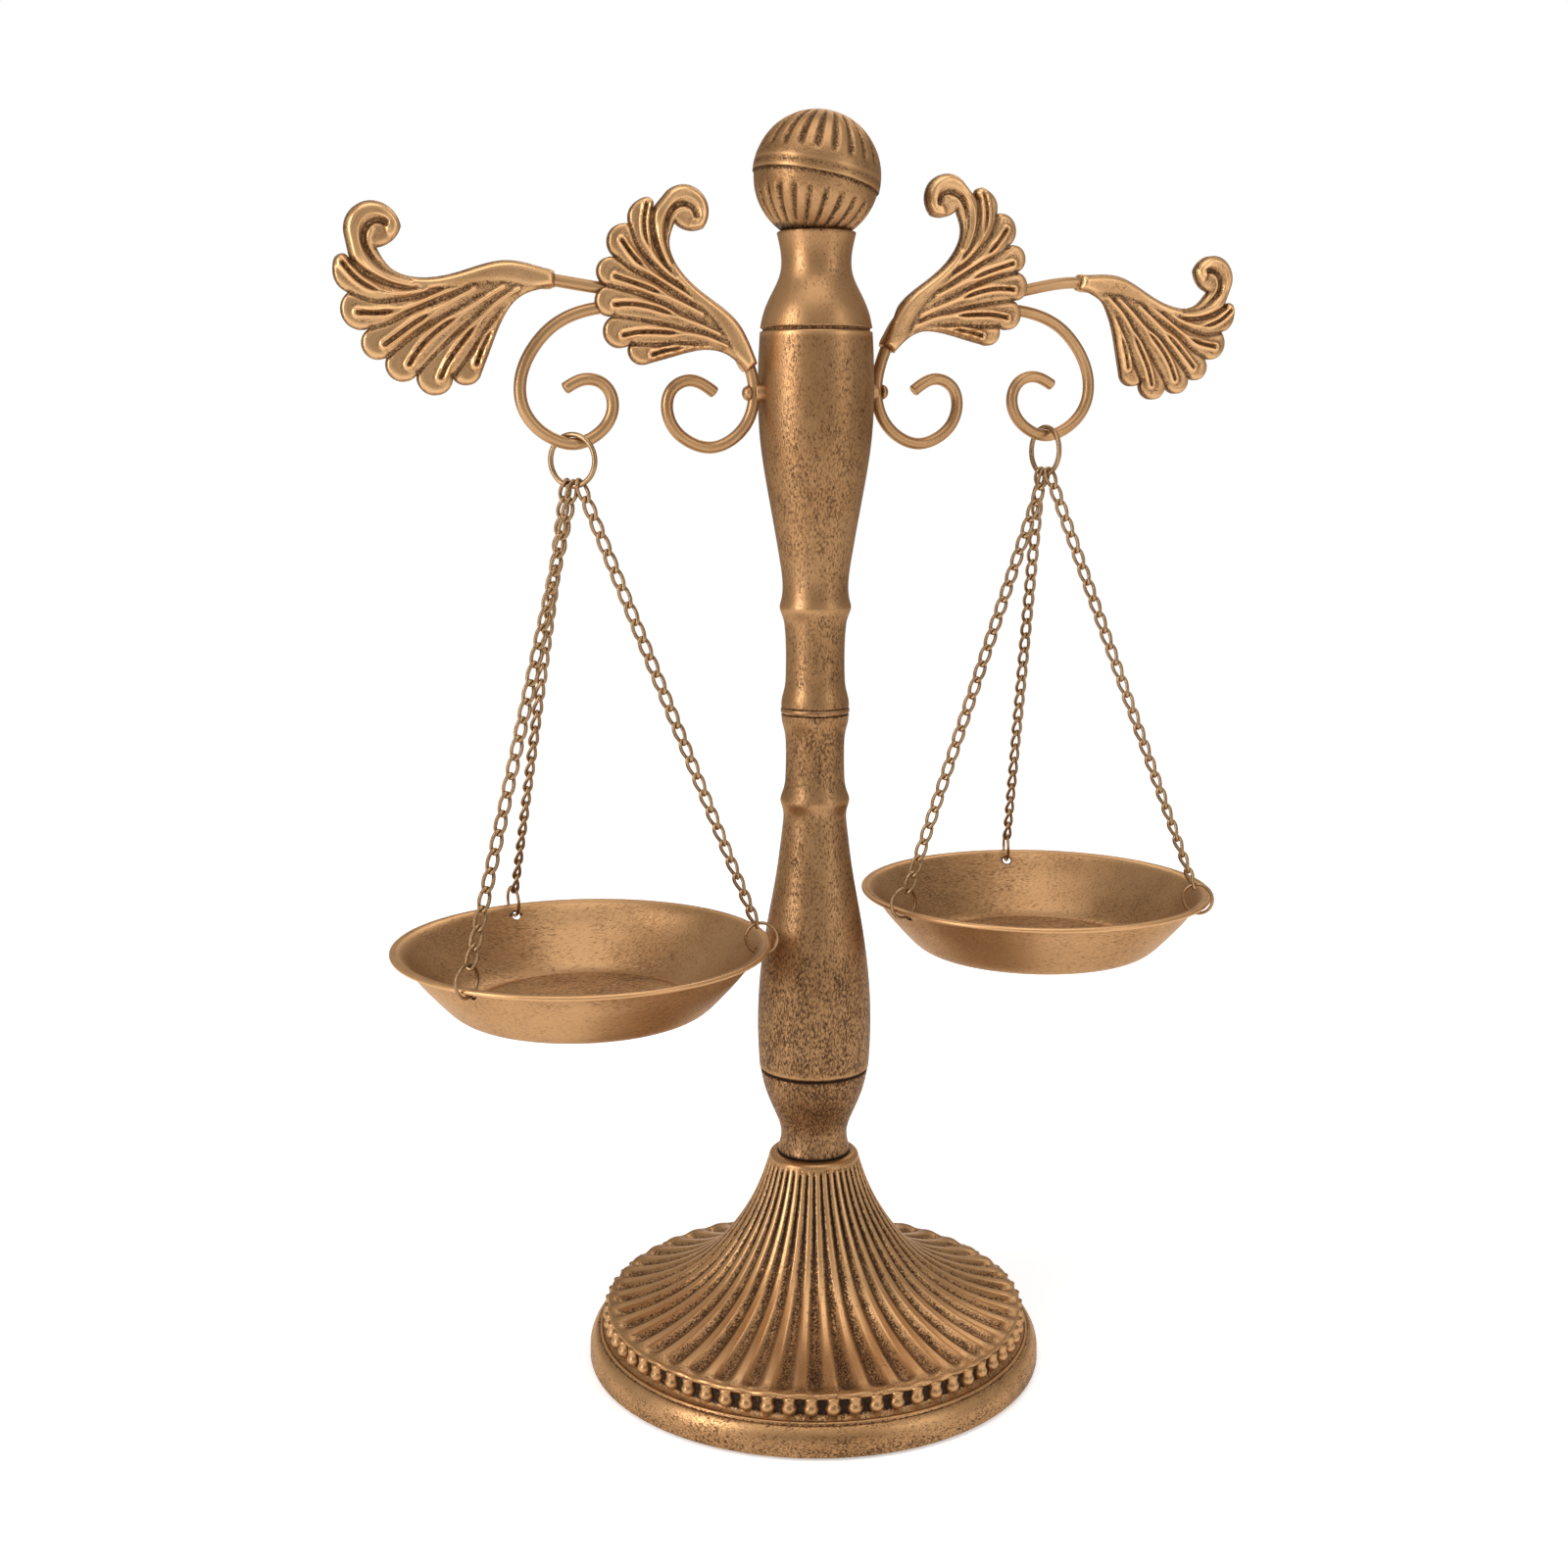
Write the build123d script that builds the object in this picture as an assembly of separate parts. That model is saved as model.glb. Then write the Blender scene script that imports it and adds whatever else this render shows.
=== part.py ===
from build123d import *
import os
from math import atan2, cos, degrees, radians, sin, sqrt

# Equal arm balance on a column. Millimetres, +Z up, X along the two arms,
# origin at the centre of the foot's underside. The front is towards -Y.

# ---- driving dimensions ----
BASE_R = 84.2               # foot band
FELT_T = 1.0                # felt under the foot
COLLAR_Z = 78.75            # top of the base, foot of the column
SEAM_LOW_Z = 242.7          # a coupling ring shows between the two column parts, between these heights
SEAM_HIGH_Z = 245.2
SEAM_R = 12.1
BALL_Z = 427.0              # centre of the finial ball
BALL_R = 22.0
NECK_TOP_Z = 408.8          # rim of the column, around the ball's underside
BALL_SHEET = 0.5
BALL_TILT = 11.0            # the ball's lap joint leans by this many degrees
BORE_R = 7.5                # core hole through the cast column

ROD_R = 2.95                # tie rod through the column
ROD_HOLE_R = 3.3

WIRE_R = 2.05               # arm wire and hook scroll
LEAF_T = 1.6
LEAF_FRONT_Y = -4.1         # front face of the flat leaf plate
SOCKET_R = 3.3              # rolled stem of a leaf, around the wire
SOCKET_BORE_R = 2.6
SOCKET_LENGTH = 6.5
SOCKET_TILT = 8.0           # the stem points up from the leaf's own axis
INNER_LEAF_TURN = 52.0      # the inner leaf is the outer one turned up by this angle
INNER_STEM = {"left": (24.4, 363.4), "right": (26.6, 369.8)}    # where each leaf's stem begins: x, z
OUTER_STEM = {"left": (92.5, 391.8), "right": (102.5, 393.2)}
OUTER_LEAF_DROOP = {"left": 0.0, "right": 12.0}
INNER_LEAF_SIZE = 0.94
OUTER_LEAF_SIZE = {"left": 1.0, "right": 0.94}
ARM_TILT = {"left": -0.9, "right": 0.9}     # each arm is turned up by this about the column at the screw
SCREW_Z = 355.0
ARM_X = 22.9                # the arm wire where the screw holds it to the column
BOSS_X = 17.6               # a boss starts this far out, in a seat in the column's wall
BOSS_R = 3.2
BOSS_LENGTH = 5.4
SCREW_TIP_X = 17.8
SCREW_R = 1.2
SCREW_HEAD_R = 2.6
SCREW_HEAD_GAP = 0.4        # between the arm wire and the screw's head
CROSS_HOLE_R = 1.25         # through the arm wire and the boss

HANG_X = {"left": 87.4, "right": 90.5}   # the hook wire's lowest point, where a pan hangs
HOOK_LOW_Z = 338.9          # before the arm is tilted
HOOK_RING_R = 8.5           # to the ring wire's centre
HOOK_RING_WIRE_R = 0.9
HINGE_GAP = 0.15            # between the ring and the wire it hangs on
TOP_LINK_GAP = 0.25         # between the hook ring and the links that hang on it
HOOK_RING_YAW = {"left": 134.4, "right": 97.5}   # direction of the ring's plane, from +X

LINK_WIRE_R = 0.5
LINK_PITCH = {"left": 6.31, "right": 6.22}
LINK_SLACK = 0.10           # inner length of a link beyond the pitch
LINK_WIDTH = 4.4
LINK_COUNT = 26
CHAIN_SPREAD = 19.0         # angle between the top links along the hook ring

PAN_R = 66.0
PAN_SHEET = 0.9
PAN_DEPTH = 21.9            # lip to the underside of the raised middle
PAN_FLOOR_R = 35.2
PAN_HOLE_PLACE = (60.2, -3.4)    # radius, and height below the lip
PAN_HOLE_R = 1.7
PAN_RING_PLACE = (62.6, 1.6)     # ring centre: radius, and height above the lip
PAN_RING_R = 5.45
PAN_RING_WIRE_R = 0.6
PAN_HOLE_ANGLES = {"left": (-21.0, 99.0, 219.0), "right": (-47.5, 72.5, 192.5)}

SIDES = {"left": -1, "right": 1}
UPWARDS = (Align.CENTER, Align.CENTER, Align.MIN)


# ---- small helpers ----
def xz(x, z, y=0.0):
    return Vector(x, y, z)


def revolved(face):
    return revolve(face, Axis.Z)


def ring_plate(r_out, r_in, z, height):
    plate = Pos(0, 0, z) * Cylinder(r_out, height, align=UPWARDS)
    hole = Pos(0, 0, z) * Cylinder(r_in, height, align=UPWARDS)
    return plate - hole


def hex_nut(across_flats, hole_r, z, height):
    body = extrude(RegularPolygon(across_flats / 2, 6, major_radius=False), height)
    return Pos(0, 0, z) * body - Pos(0, 0, z) * extrude(Circle(hole_r), height)


def swept_wire(points, radius):
    path = Spline(*points)
    section = Plane(origin=path @ 0, z_dir=path % 0) * Circle(radius)
    return sweep(section, path=path)


def turned_torus(centre, normal, r_major, r_minor):
    return Plane(origin=centre, z_dir=normal) * Torus(r_major, r_minor)


def save(node, shape):
    shape.label = node
    export_step(shape, "parts/" + node + ".step")


# ---- base ----
def base_shell():
    outside = [
        Line((ROD_HOLE_R, COLLAR_Z), (14.6, COLLAR_Z)),
        ThreePointArc((14.6, COLLAR_Z), (16.1, 78.1), (16.7, 76.6)),
        Spline((16.7, 76.6), (19.6, 67.6), (23.7, 58.4), (29.4, 49.0), (40.0, 36.5), (50.0, 29.5),
               (60.0, 25.0), (76.6, 20.6)),
        ThreePointArc((76.6, 20.6), (77.4, 19.6), (76.9, 18.6)),
        Line((76.9, 18.6), (77.3, 11.3)),
        ThreePointArc((77.3, 11.3), (79.2, 12.2), (80.8, 10.8)),
        Spline((80.8, 10.8), (83.0, 8.0), (BASE_R, 4.2)),
        Line((BASE_R, 4.2), (BASE_R, FELT_T)),
    ]
    inside = [
        Line((BASE_R, FELT_T), (70.0, FELT_T)),
        Line((70.0, FELT_T), (70.0, 3.5)),
        Line((70.0, 3.5), (80.2, 3.5)),
        Line((80.2, 3.5), (78.2, 8.2)),
        Line((78.2, 8.2), (74.0, 9.2)),
        Line((74.0, 9.2), (73.6, 18.0)),
        Spline((73.6, 18.0), (59.0, 21.8), (48.6, 26.3), (38.0, 33.6), (26.8, 46.6), (20.8, 57.0),
               (16.6, 67.0), (14.4, 74.0)),
        Line((14.4, 74.0), (ROD_HOLE_R, 74.0)),
        Line((ROD_HOLE_R, 74.0), (ROD_HOLE_R, COLLAR_Z)),
    ]
    profile = upright_face(outside + inside)
    return revolved(profile)


def upright_face(edges):
    return make_face(Plane.XZ * (Curve() + edges))


# ---- column ----
def lower_column():
    edges = [
        Line((BORE_R, COLLAR_Z), (13.5, COLLAR_Z)),
        Spline((13.5, COLLAR_Z), (12.2, 85.8), (14.9, 95.0), (18.3, 104.0), (19.7, 110.5)),
        ThreePointArc((19.7, 110.5), (19.5, 111.2), (20.1, 111.9)),
        Spline((20.1, 111.9), (20.7, 124.0), (20.3, 141.0), (17.0, 167.2), (13.9, 184.5), (11.5, 203.4),
               (11.3, 207.4)),
        ThreePointArc((11.3, 207.4), (12.5, 211.4), (11.2, 215.4)),
        Spline((11.2, 215.4), (10.6, 220.0), (10.5, 231.0), (11.0, 236.6), (11.9, 240.2),
               (SEAM_R, SEAM_LOW_Z)),
        Line((SEAM_R, SEAM_LOW_Z), (BORE_R, SEAM_LOW_Z)),
        Line((BORE_R, SEAM_LOW_Z), (BORE_R, COLLAR_Z)),
    ]
    return revolved(upright_face(edges))


def upper_column():
    edges = [
        Line((BORE_R, SEAM_HIGH_Z), (SEAM_R, SEAM_HIGH_Z)),
        Spline((SEAM_R, SEAM_HIGH_Z), (11.9, 247.9), (11.0, 251.6), (10.5, 257.0), (10.5, 268.0), (10.9, 273.6),
               (11.4, 276.8)),
        ThreePointArc((11.4, 276.8), (12.75, 280.8), (11.7, 284.4)),
        Spline((11.7, 284.4), (12.4, 296.0), (16.6, 319.9), (19.6, 340.2), (20.2, 355.0), (20.0, 366.0),
               (19.5, 375.4)),
        ThreePointArc((19.5, 375.4), (18.9, 376.1), (19.4, 376.8)),
        Spline((19.4, 376.8), (18.5, 381.0), (15.3, 388.6), (12.5, 395.0), (12.1, 400.4), (13.6, NECK_TOP_Z)),
        Line((13.6, NECK_TOP_Z), (BORE_R, NECK_TOP_Z)),
        Line((BORE_R, NECK_TOP_Z), (BORE_R, SEAM_HIGH_Z)),
    ]
    column = revolved(upright_face(edges))
    return column - Pos(0, 0, BALL_Z) * Sphere(BALL_R - BALL_SHEET)


def column_coupling():
    spigot_r = BORE_R - 0.1
    edges = [
        Line((ROD_HOLE_R, 234.0), (spigot_r, 234.0)),
        Line((spigot_r, 234.0), (spigot_r, SEAM_LOW_Z)),
        Line((spigot_r, SEAM_LOW_Z), (SEAM_R, SEAM_LOW_Z)),
        ThreePointArc((SEAM_R, SEAM_LOW_Z), (12.35, 243.95), (SEAM_R, SEAM_HIGH_Z)),
        Line((SEAM_R, SEAM_HIGH_Z), (spigot_r, SEAM_HIGH_Z)),
        Line((spigot_r, SEAM_HIGH_Z), (spigot_r, 256.0)),
        Line((spigot_r, 256.0), (ROD_HOLE_R, 256.0)),
        Line((ROD_HOLE_R, 256.0), (ROD_HOLE_R, 234.0)),
    ]
    return revolved(upright_face(edges))


# ---- finial ball: the upper half laps over the lower one ----
def half_space_below(height):
    block = Pos(0, 0, -60 + height) * Box(120, 120, 120)
    return Pos(0, 0, BALL_Z) * Rot(0, BALL_TILT, 0) * block


def ball_shell(r_out):
    return Pos(0, 0, BALL_Z) * (Sphere(r_out) - Sphere(r_out - BALL_SHEET))


def finial_lower_shell():
    shell = ball_shell(BALL_R - BALL_SHEET) & half_space_below(2.0)
    return shell - Pos(0, 0, BALL_Z - BALL_R) * Cylinder(ROD_HOLE_R, 8)


def finial_upper_shell():
    return ball_shell(BALL_R) - half_space_below(-1.8)


# ---- arms ----
def turn(point, angle):
    c, s = cos(radians(angle)), sin(radians(angle))
    return (c * point[0] - s * point[1], s * point[0] + c * point[1])


def on_side(shape, side):
    # Tilts a right-hand arm part about the column at the screw's height, and mirrors it for the left.
    tilted = Pos(0, 0, SCREW_Z) * Rot(0, -ARM_TILT[side], 0) * Pos(0, 0, -SCREW_Z) * shape
    return tilted if side == "right" else mirror(tilted, Plane.YZ)


def arm_route(side):
    stem_x, stem_z = OUTER_STEM[side]
    outer_lead = turn((SOCKET_LENGTH - 1.0, 0.0), SOCKET_TILT - OUTER_LEAF_DROOP[side])
    inner_x, inner_z = INNER_STEM[side]
    inner_lead = turn((SOCKET_LENGTH - 1.0, 0.0), SOCKET_TILT + INNER_LEAF_TURN)
    route = [(37.1, 355.2), (46.2, 359.4), (52.6, 356.2), (54.3, 350.0), (51.8, 343.2), (46.2, 338.7),
             (39.2, 336.9), (30.8, 339.8), (24.9, 346.5), (ARM_X, SCREW_Z), (inner_x, inner_z),
             (inner_x + inner_lead[0], inner_z + inner_lead[1]),
             (36.5, 379.4), (47.0, 384.4), (61.0, 387.6), (76.0, 389.4), (stem_x, stem_z),
             (stem_x + outer_lead[0], stem_z + outer_lead[1])]
    return [xz(x, z) for x, z in route]


def cross_hole():
    return Pos(ARM_X, 0, SCREW_Z) * Rot(0, 90, 0) * Cylinder(CROSS_HOLE_R, 16)


def arm_wire(side):
    return on_side(swept_wire(arm_route(side), WIRE_R) - cross_hole(), side)


def arm_boss(side):
    boss = Pos(BOSS_X, 0, SCREW_Z) * Rot(0, 90, 0) * Cylinder(BOSS_R, BOSS_LENGTH, align=UPWARDS)
    wire_seat = swept_wire(arm_route(side), WIRE_R + 0.03)
    return on_side(boss - cross_hole() - wire_seat, side)


def arm_screw(side):
    # Turned about +Z with its tip at the origin, then laid along the arm.
    head_z = ARM_X + WIRE_R + SCREW_HEAD_GAP - SCREW_TIP_X
    edges = [
        Line((0, 0), (SCREW_R, 0)),
        Line((SCREW_R, 0), (SCREW_R, head_z)),
        Line((SCREW_R, head_z), (SCREW_HEAD_R, head_z)),
        ThreePointArc((SCREW_HEAD_R, head_z), (1.9, head_z + 1.1), (0, head_z + 1.6)),
        Line((0, head_z + 1.6), (0, 0)),
    ]
    slot = Pos(0, 0, head_z + 1.5) * Box(0.6, 8, 1.4)
    screw = revolved(upright_face(edges)) - slot
    return on_side(Pos(SCREW_TIP_X, 0, SCREW_Z) * Rot(0, 90, 0) * screw, side)


def column_with_boss_seats(column):
    for side in SIDES:
        column -= on_side(Pos(BOSS_X + 1.4, 0, SCREW_Z) * Rot(0, 90, 0) * Cylinder(BOSS_R, 2.8), side)
    return column


def hook_scroll(side):
    # x is measured from the point where the pan hangs.
    route = [(-28.5, 380.6), (-19.5, 383.2), (-9.5, 382.9), (4.3, 377.9), (12.1, 370.4), (17.1, 359.0),
             (16.3, 350.6), (11.9, 344.2), (6.5, 340.6), (0.0, HOOK_LOW_Z), (-7.5, 341.3),
             (-12.9, 346.8), (-14.1, 353.0), (-11.3, 358.2), (-5.1, 360.0), (2.2, 356.9)]
    return on_side(swept_wire([xz(HANG_X[side] + x, z) for x, z in route], WIRE_R), side)


def leaf_outline():
    # One stamping: the upper edge, the curled tip, then six lobes and the lower edge.
    notches = [(65.2, 4.9), (66.4, -4.8), (60.4, -15.9), (55.2, -24.7), (45.9, -29.8), (34.6, -31.0),
               (25.3, -29.9)]
    tips = [(71.2, 1.4), (68.9, -10.9), (62.6, -22.4), (51.8, -32.2), (40.9, -36.7), (29.9, -33.6)]
    edges = [
        Spline((0.0, 2.6), (6.0, 4.3), (15.8, 5.8), (28.1, 3.0), (41.2, 0.1), (53.0, 3.0), (57.0, 9.0)),
        ThreePointArc((57.0, 9.0), (51.7, 11.3), (49.0, 15.6)),
        ThreePointArc((49.0, 15.6), (57.2, 23.2), (66.7, 13.5)),
        Line((66.7, 13.5), notches[0]),
    ]
    for start, tip, end in zip(notches, tips, notches[1:]):
        edges.append(ThreePointArc(start, tip, end))
    edges.append(Spline(notches[-1], (21.9, -22.1), (17.9, -13.3), (12.3, -6.2), (5.2, -3.3), (0.0, -2.6)))
    edges.append(Line((0.0, -2.6), (0.0, 2.6)))
    return edges


def leaf():
    # Stem at the origin, pointing along +X in the XZ plane.
    plate = extrude(upright_face(leaf_outline()), LEAF_T / 2, both=True)
    plate = Pos(0, LEAF_FRONT_Y + LEAF_T / 2, 0) * plate
    socket = Rot(0, 90 - SOCKET_TILT, 0) * Cylinder(SOCKET_R, SOCKET_LENGTH, align=UPWARDS)
    bore = Rot(0, 90 - SOCKET_TILT, 0) * Cylinder(SOCKET_BORE_R, 4 * SOCKET_LENGTH)
    return (plate + socket) - bore


def placed_leaf(side, stem, angle, size):
    return on_side(Pos(stem[0], 0, stem[1]) * Rot(0, -angle, 0) * scale(leaf(), size), side)


# ---- what hangs from a hook: ring, chains, pan ----
def unit(v):
    return v * (1.0 / v.length)


def hook_low_z(side):
    # The tilted hook's lowest point stays at HANG_X, because its lowest stretch is round.
    return HOOK_LOW_Z + HANG_X[side] * sin(radians(ARM_TILT[side]))


def hook_ring_centre(side):
    inner_r = HOOK_RING_R - HOOK_RING_WIRE_R
    z = hook_low_z(side) + WIRE_R + HINGE_GAP - inner_r
    return Vector(SIDES[side] * HANG_X[side], 0, z)


def ring_direction(side):
    yaw = radians(HOOK_RING_YAW[side])
    return Vector(cos(yaw), sin(yaw), 0)


def hook_ring(side):
    along = ring_direction(side)
    return turned_torus(hook_ring_centre(side), along.cross(Vector(0, 0, 1)), HOOK_RING_R, HOOK_RING_WIRE_R)


def top_of_chain(side, place):
    # A point on the hook ring wire's centre line; place is -1, 0 or 1 along its lowest stretch.
    angle = radians(place * CHAIN_SPREAD)
    along = ring_direction(side)
    return hook_ring_centre(side) + along * (HOOK_RING_R * sin(angle)) - Vector(0, 0, HOOK_RING_R * cos(angle))


def chain_places(side):
    # The chain that leads furthest along the ring takes the end place, so that no two cross.
    yaw = HOOK_RING_YAW[side]
    leads = [cos(radians(angle - yaw)) for angle in PAN_HOLE_ANGLES[side]]
    order = sorted(range(3), key=lambda i: leads[i])
    return {index: place for place, index in zip((-1, 0, 1), order)}


def pan_lip_z(side):
    # The nominal chain is taut from the middle of the hook ring to the top of a pan ring.
    ends = HOOK_RING_WIRE_R + TOP_LINK_GAP + PAN_RING_WIRE_R
    reach = LINK_COUNT * LINK_PITCH[side] - ends + PAN_RING_R
    drop = sqrt(reach ** 2 - PAN_RING_PLACE[0] ** 2)
    return top_of_chain(side, 0).Z - drop - PAN_RING_PLACE[1]


def pan_ring_centre(side, angle):
    out = Vector(cos(radians(angle)), sin(radians(angle)), 0)
    foot = Vector(SIDES[side] * HANG_X[side], 0, pan_lip_z(side) + PAN_RING_PLACE[1])
    return foot + out * PAN_RING_PLACE[0]


def pan_rings(side):
    rings = []
    for angle in PAN_HOLE_ANGLES[side]:
        tangent = Vector(-sin(radians(angle)), cos(radians(angle)), 0)
        rings.append(turned_torus(pan_ring_centre(side, angle), tangent, PAN_RING_R, PAN_RING_WIRE_R))
    return Compound(children=rings)


def chain_link(pitch):
    # An oval link in the XZ plane, its long axis along Z.
    half = (pitch + LINK_SLACK) / 2 + LINK_WIRE_R
    bend_r = LINK_WIDTH / 2 - LINK_WIRE_R
    side_z = half - bend_r
    outline = [
        Line((bend_r, -side_z), (bend_r, side_z)),
        ThreePointArc((bend_r, side_z), (0, half), (-bend_r, side_z)),
        Line((-bend_r, side_z), (-bend_r, -side_z)),
        ThreePointArc((-bend_r, -side_z), (0, -half), (bend_r, -side_z)),
    ]
    path = Wire((Plane.XZ * (Curve() + outline)).edges())
    section = Plane(origin=(bend_r, 0, 0), z_dir=(0, 0, 1)) * Circle(LINK_WIRE_R)
    return sweep(section, path=path)


def chain(side, index):
    angle = PAN_HOLE_ANGLES[side][index]
    start = top_of_chain(side, chain_places(side)[index])
    ring = pan_ring_centre(side, angle)
    down = unit(ring - start)
    end = ring - down * PAN_RING_R
    above = HOOK_RING_WIRE_R + TOP_LINK_GAP
    pitch = ((end - start).length + above + PAN_RING_WIRE_R) / LINK_COUNT
    first = start + down * (pitch / 2 - above)
    # The top link lies across the hook ring, the last across the pan ring, the rest share the twist.
    across = unit(ring_direction(side) - down * ring_direction(side).dot(down))
    out = Vector(cos(radians(angle)), sin(radians(angle)), 0)
    last = unit(out - down * out.dot(down))
    twist = degrees(atan2(across.cross(last).dot(down), across.dot(last)))
    quarter_turns = 90.0 * (LINK_COUNT - 1)
    spare = (twist - quarter_turns + 90.0) % 180.0 - 90.0
    step = (quarter_turns + spare) / (LINK_COUNT - 1)
    link = chain_link(LINK_PITCH[side])
    links = []
    for k in range(LINK_COUNT):
        normal = across.rotate(Axis((0, 0, 0), down), step * k)
        place = Plane(origin=first + down * (pitch * k), x_dir=normal.cross(down), z_dir=down)
        links.append(place * link)
    return Compound(children=links)


def pan(side):
    inside_z = PAN_SHEET - PAN_DEPTH
    edges = [
        Line((0, -PAN_DEPTH), (PAN_FLOOR_R, -PAN_DEPTH)),
        Spline((PAN_FLOOR_R, -PAN_DEPTH), (37.2, -22.6), (40.6, -23.4), (44.2, -22.2), (48.4, -18.6),
               (53.0, -13.6), (57.4, -8.4), (60.4, -4.2), (62.8, -1.0)),
        Line((62.8, -1.0), (64.6, -0.9)),
        Line((64.6, -0.9), (64.7, -1.7)),
        ThreePointArc((64.7, -1.7), (65.9, -1.6), (PAN_R, -0.6)),
        ThreePointArc((PAN_R, -0.6), (65.7, -0.1), (65.0, 0.0)),
        Line((65.0, 0.0), (63.0, 0.0)),
        Spline((63.0, 0.0), (59.7, -3.65), (56.7, -7.85), (52.3, -13.0), (47.8, -17.95), (43.7, -21.4),
               (40.55, -22.5), (37.4, -21.7), (PAN_FLOOR_R, inside_z)),
        Line((PAN_FLOOR_R, inside_z), (0, inside_z)),
        Line((0, inside_z), (0, -PAN_DEPTH)),
    ]
    bowl = revolved(upright_face(edges))
    hole_r, hole_z = PAN_HOLE_PLACE
    for angle in PAN_HOLE_ANGLES[side]:
        bowl -= Rot(0, 0, angle) * Pos(hole_r, 0, hole_z) * Rot(0, 45, 0) * Cylinder(PAN_HOLE_R, 6)
    return Pos(SIDES[side] * HANG_X[side], 0, pan_lip_z(side)) * bowl


def main():
    os.makedirs("parts", exist_ok=True)
    save("felt_disc", extrude(Circle(BASE_R - 2.5), FELT_T))
    save("base_shell", base_shell())
    save("base_washer", ring_plate(9.0, 3.2, 72.6, 1.4))
    save("base_nut", hex_nut(10.0, ROD_R + 0.05, 67.6, 5.0))
    save("tie_rod", Pos(0, 0, 64.0) * extrude(Circle(ROD_R), 353.0))
    save("lower_column", lower_column())
    save("column_coupling", column_coupling())
    save("upper_column", column_with_boss_seats(upper_column()))
    save("finial_washer", ring_plate(7.0, 3.2, BALL_Z - 19.7, 1.4))
    save("finial_nut", hex_nut(10.0, ROD_R + 0.05, BALL_Z - 18.3, 5.0))
    save("finial_lower_shell", finial_lower_shell())
    save("finial_upper_shell", finial_upper_shell())
    for side in SIDES:
        save(side + "_arm_wire", arm_wire(side))
        save(side + "_arm_boss", arm_boss(side))
        save(side + "_arm_screw", arm_screw(side))
        save(side + "_hook_scroll", hook_scroll(side))
        save(side + "_inner_leaf", placed_leaf(side, INNER_STEM[side], INNER_LEAF_TURN, INNER_LEAF_SIZE))
        outer_turn = -OUTER_LEAF_DROOP[side]
        save(side + "_outer_leaf", placed_leaf(side, OUTER_STEM[side], outer_turn, OUTER_LEAF_SIZE[side]))
        save(side + "_hook_ring", hook_ring(side))
        for index in range(3):
            save(side + "_chain_" + str(index + 1), chain(side, index))
        save(side + "_pan_rings", pan_rings(side))
        save(side + "_pan", pan(side))


main()
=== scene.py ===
from math import atan2, copysign, cos, degrees, floor, pi, radians, sin, sqrt

import bpy
import numpy as np
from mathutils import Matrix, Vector
from mathutils.geometry import delaunay_2d_cdt


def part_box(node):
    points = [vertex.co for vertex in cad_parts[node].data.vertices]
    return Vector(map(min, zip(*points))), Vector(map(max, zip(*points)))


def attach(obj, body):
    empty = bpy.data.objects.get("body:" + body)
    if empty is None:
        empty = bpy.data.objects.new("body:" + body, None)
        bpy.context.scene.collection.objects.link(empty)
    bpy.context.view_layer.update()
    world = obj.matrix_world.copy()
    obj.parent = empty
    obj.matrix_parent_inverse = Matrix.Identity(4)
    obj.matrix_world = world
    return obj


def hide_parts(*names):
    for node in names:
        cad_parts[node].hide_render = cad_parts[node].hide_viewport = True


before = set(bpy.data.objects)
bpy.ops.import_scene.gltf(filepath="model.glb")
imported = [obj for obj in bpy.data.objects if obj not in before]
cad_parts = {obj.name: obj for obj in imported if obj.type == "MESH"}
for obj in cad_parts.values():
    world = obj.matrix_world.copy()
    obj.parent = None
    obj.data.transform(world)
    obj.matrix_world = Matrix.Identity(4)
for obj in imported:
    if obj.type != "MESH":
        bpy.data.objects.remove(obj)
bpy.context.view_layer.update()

# Looks of the equal arm balance. Lengths in this script are millimetres until a mesh is made.
MM = 0.001
SIDES = {"left": -1, "right": 1}


# ---- camera ----
CAMERA_YAW = radians(21.1)          # the camera stands to the left, so the left arm is the nearer one
CAMERA_PITCH = radians(10.24)
CAMERA_DISTANCE = 0.67886           # metres, like the next two
CAMERA_SHIFT = -0.0111
CAMERA_HEIGHT = 0.33957
along = Vector((sin(CAMERA_YAW), cos(CAMERA_YAW), 0))
across = Vector((cos(CAMERA_YAW), -sin(CAMERA_YAW), 0))
camera_data = bpy.data.cameras.new("camera")
camera_data.lens = 44.0
camera_data.sensor_width = 36.0
camera_data.clip_start = 0.01
camera_data.clip_end = 60.0
camera = bpy.data.objects.new("camera", camera_data)
camera.location = along * -CAMERA_DISTANCE + across * CAMERA_SHIFT + Vector((0, 0, CAMERA_HEIGHT))
view_line = along * cos(CAMERA_PITCH) - Vector((0, 0, sin(CAMERA_PITCH)))
camera.rotation_mode = "QUATERNION"
camera.rotation_quaternion = view_line.to_track_quat("-Z", "Y")
bpy.context.scene.collection.objects.link(camera)
bpy.context.scene.camera = camera
bpy.context.scene.view_settings.view_transform = "Standard"


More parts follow.
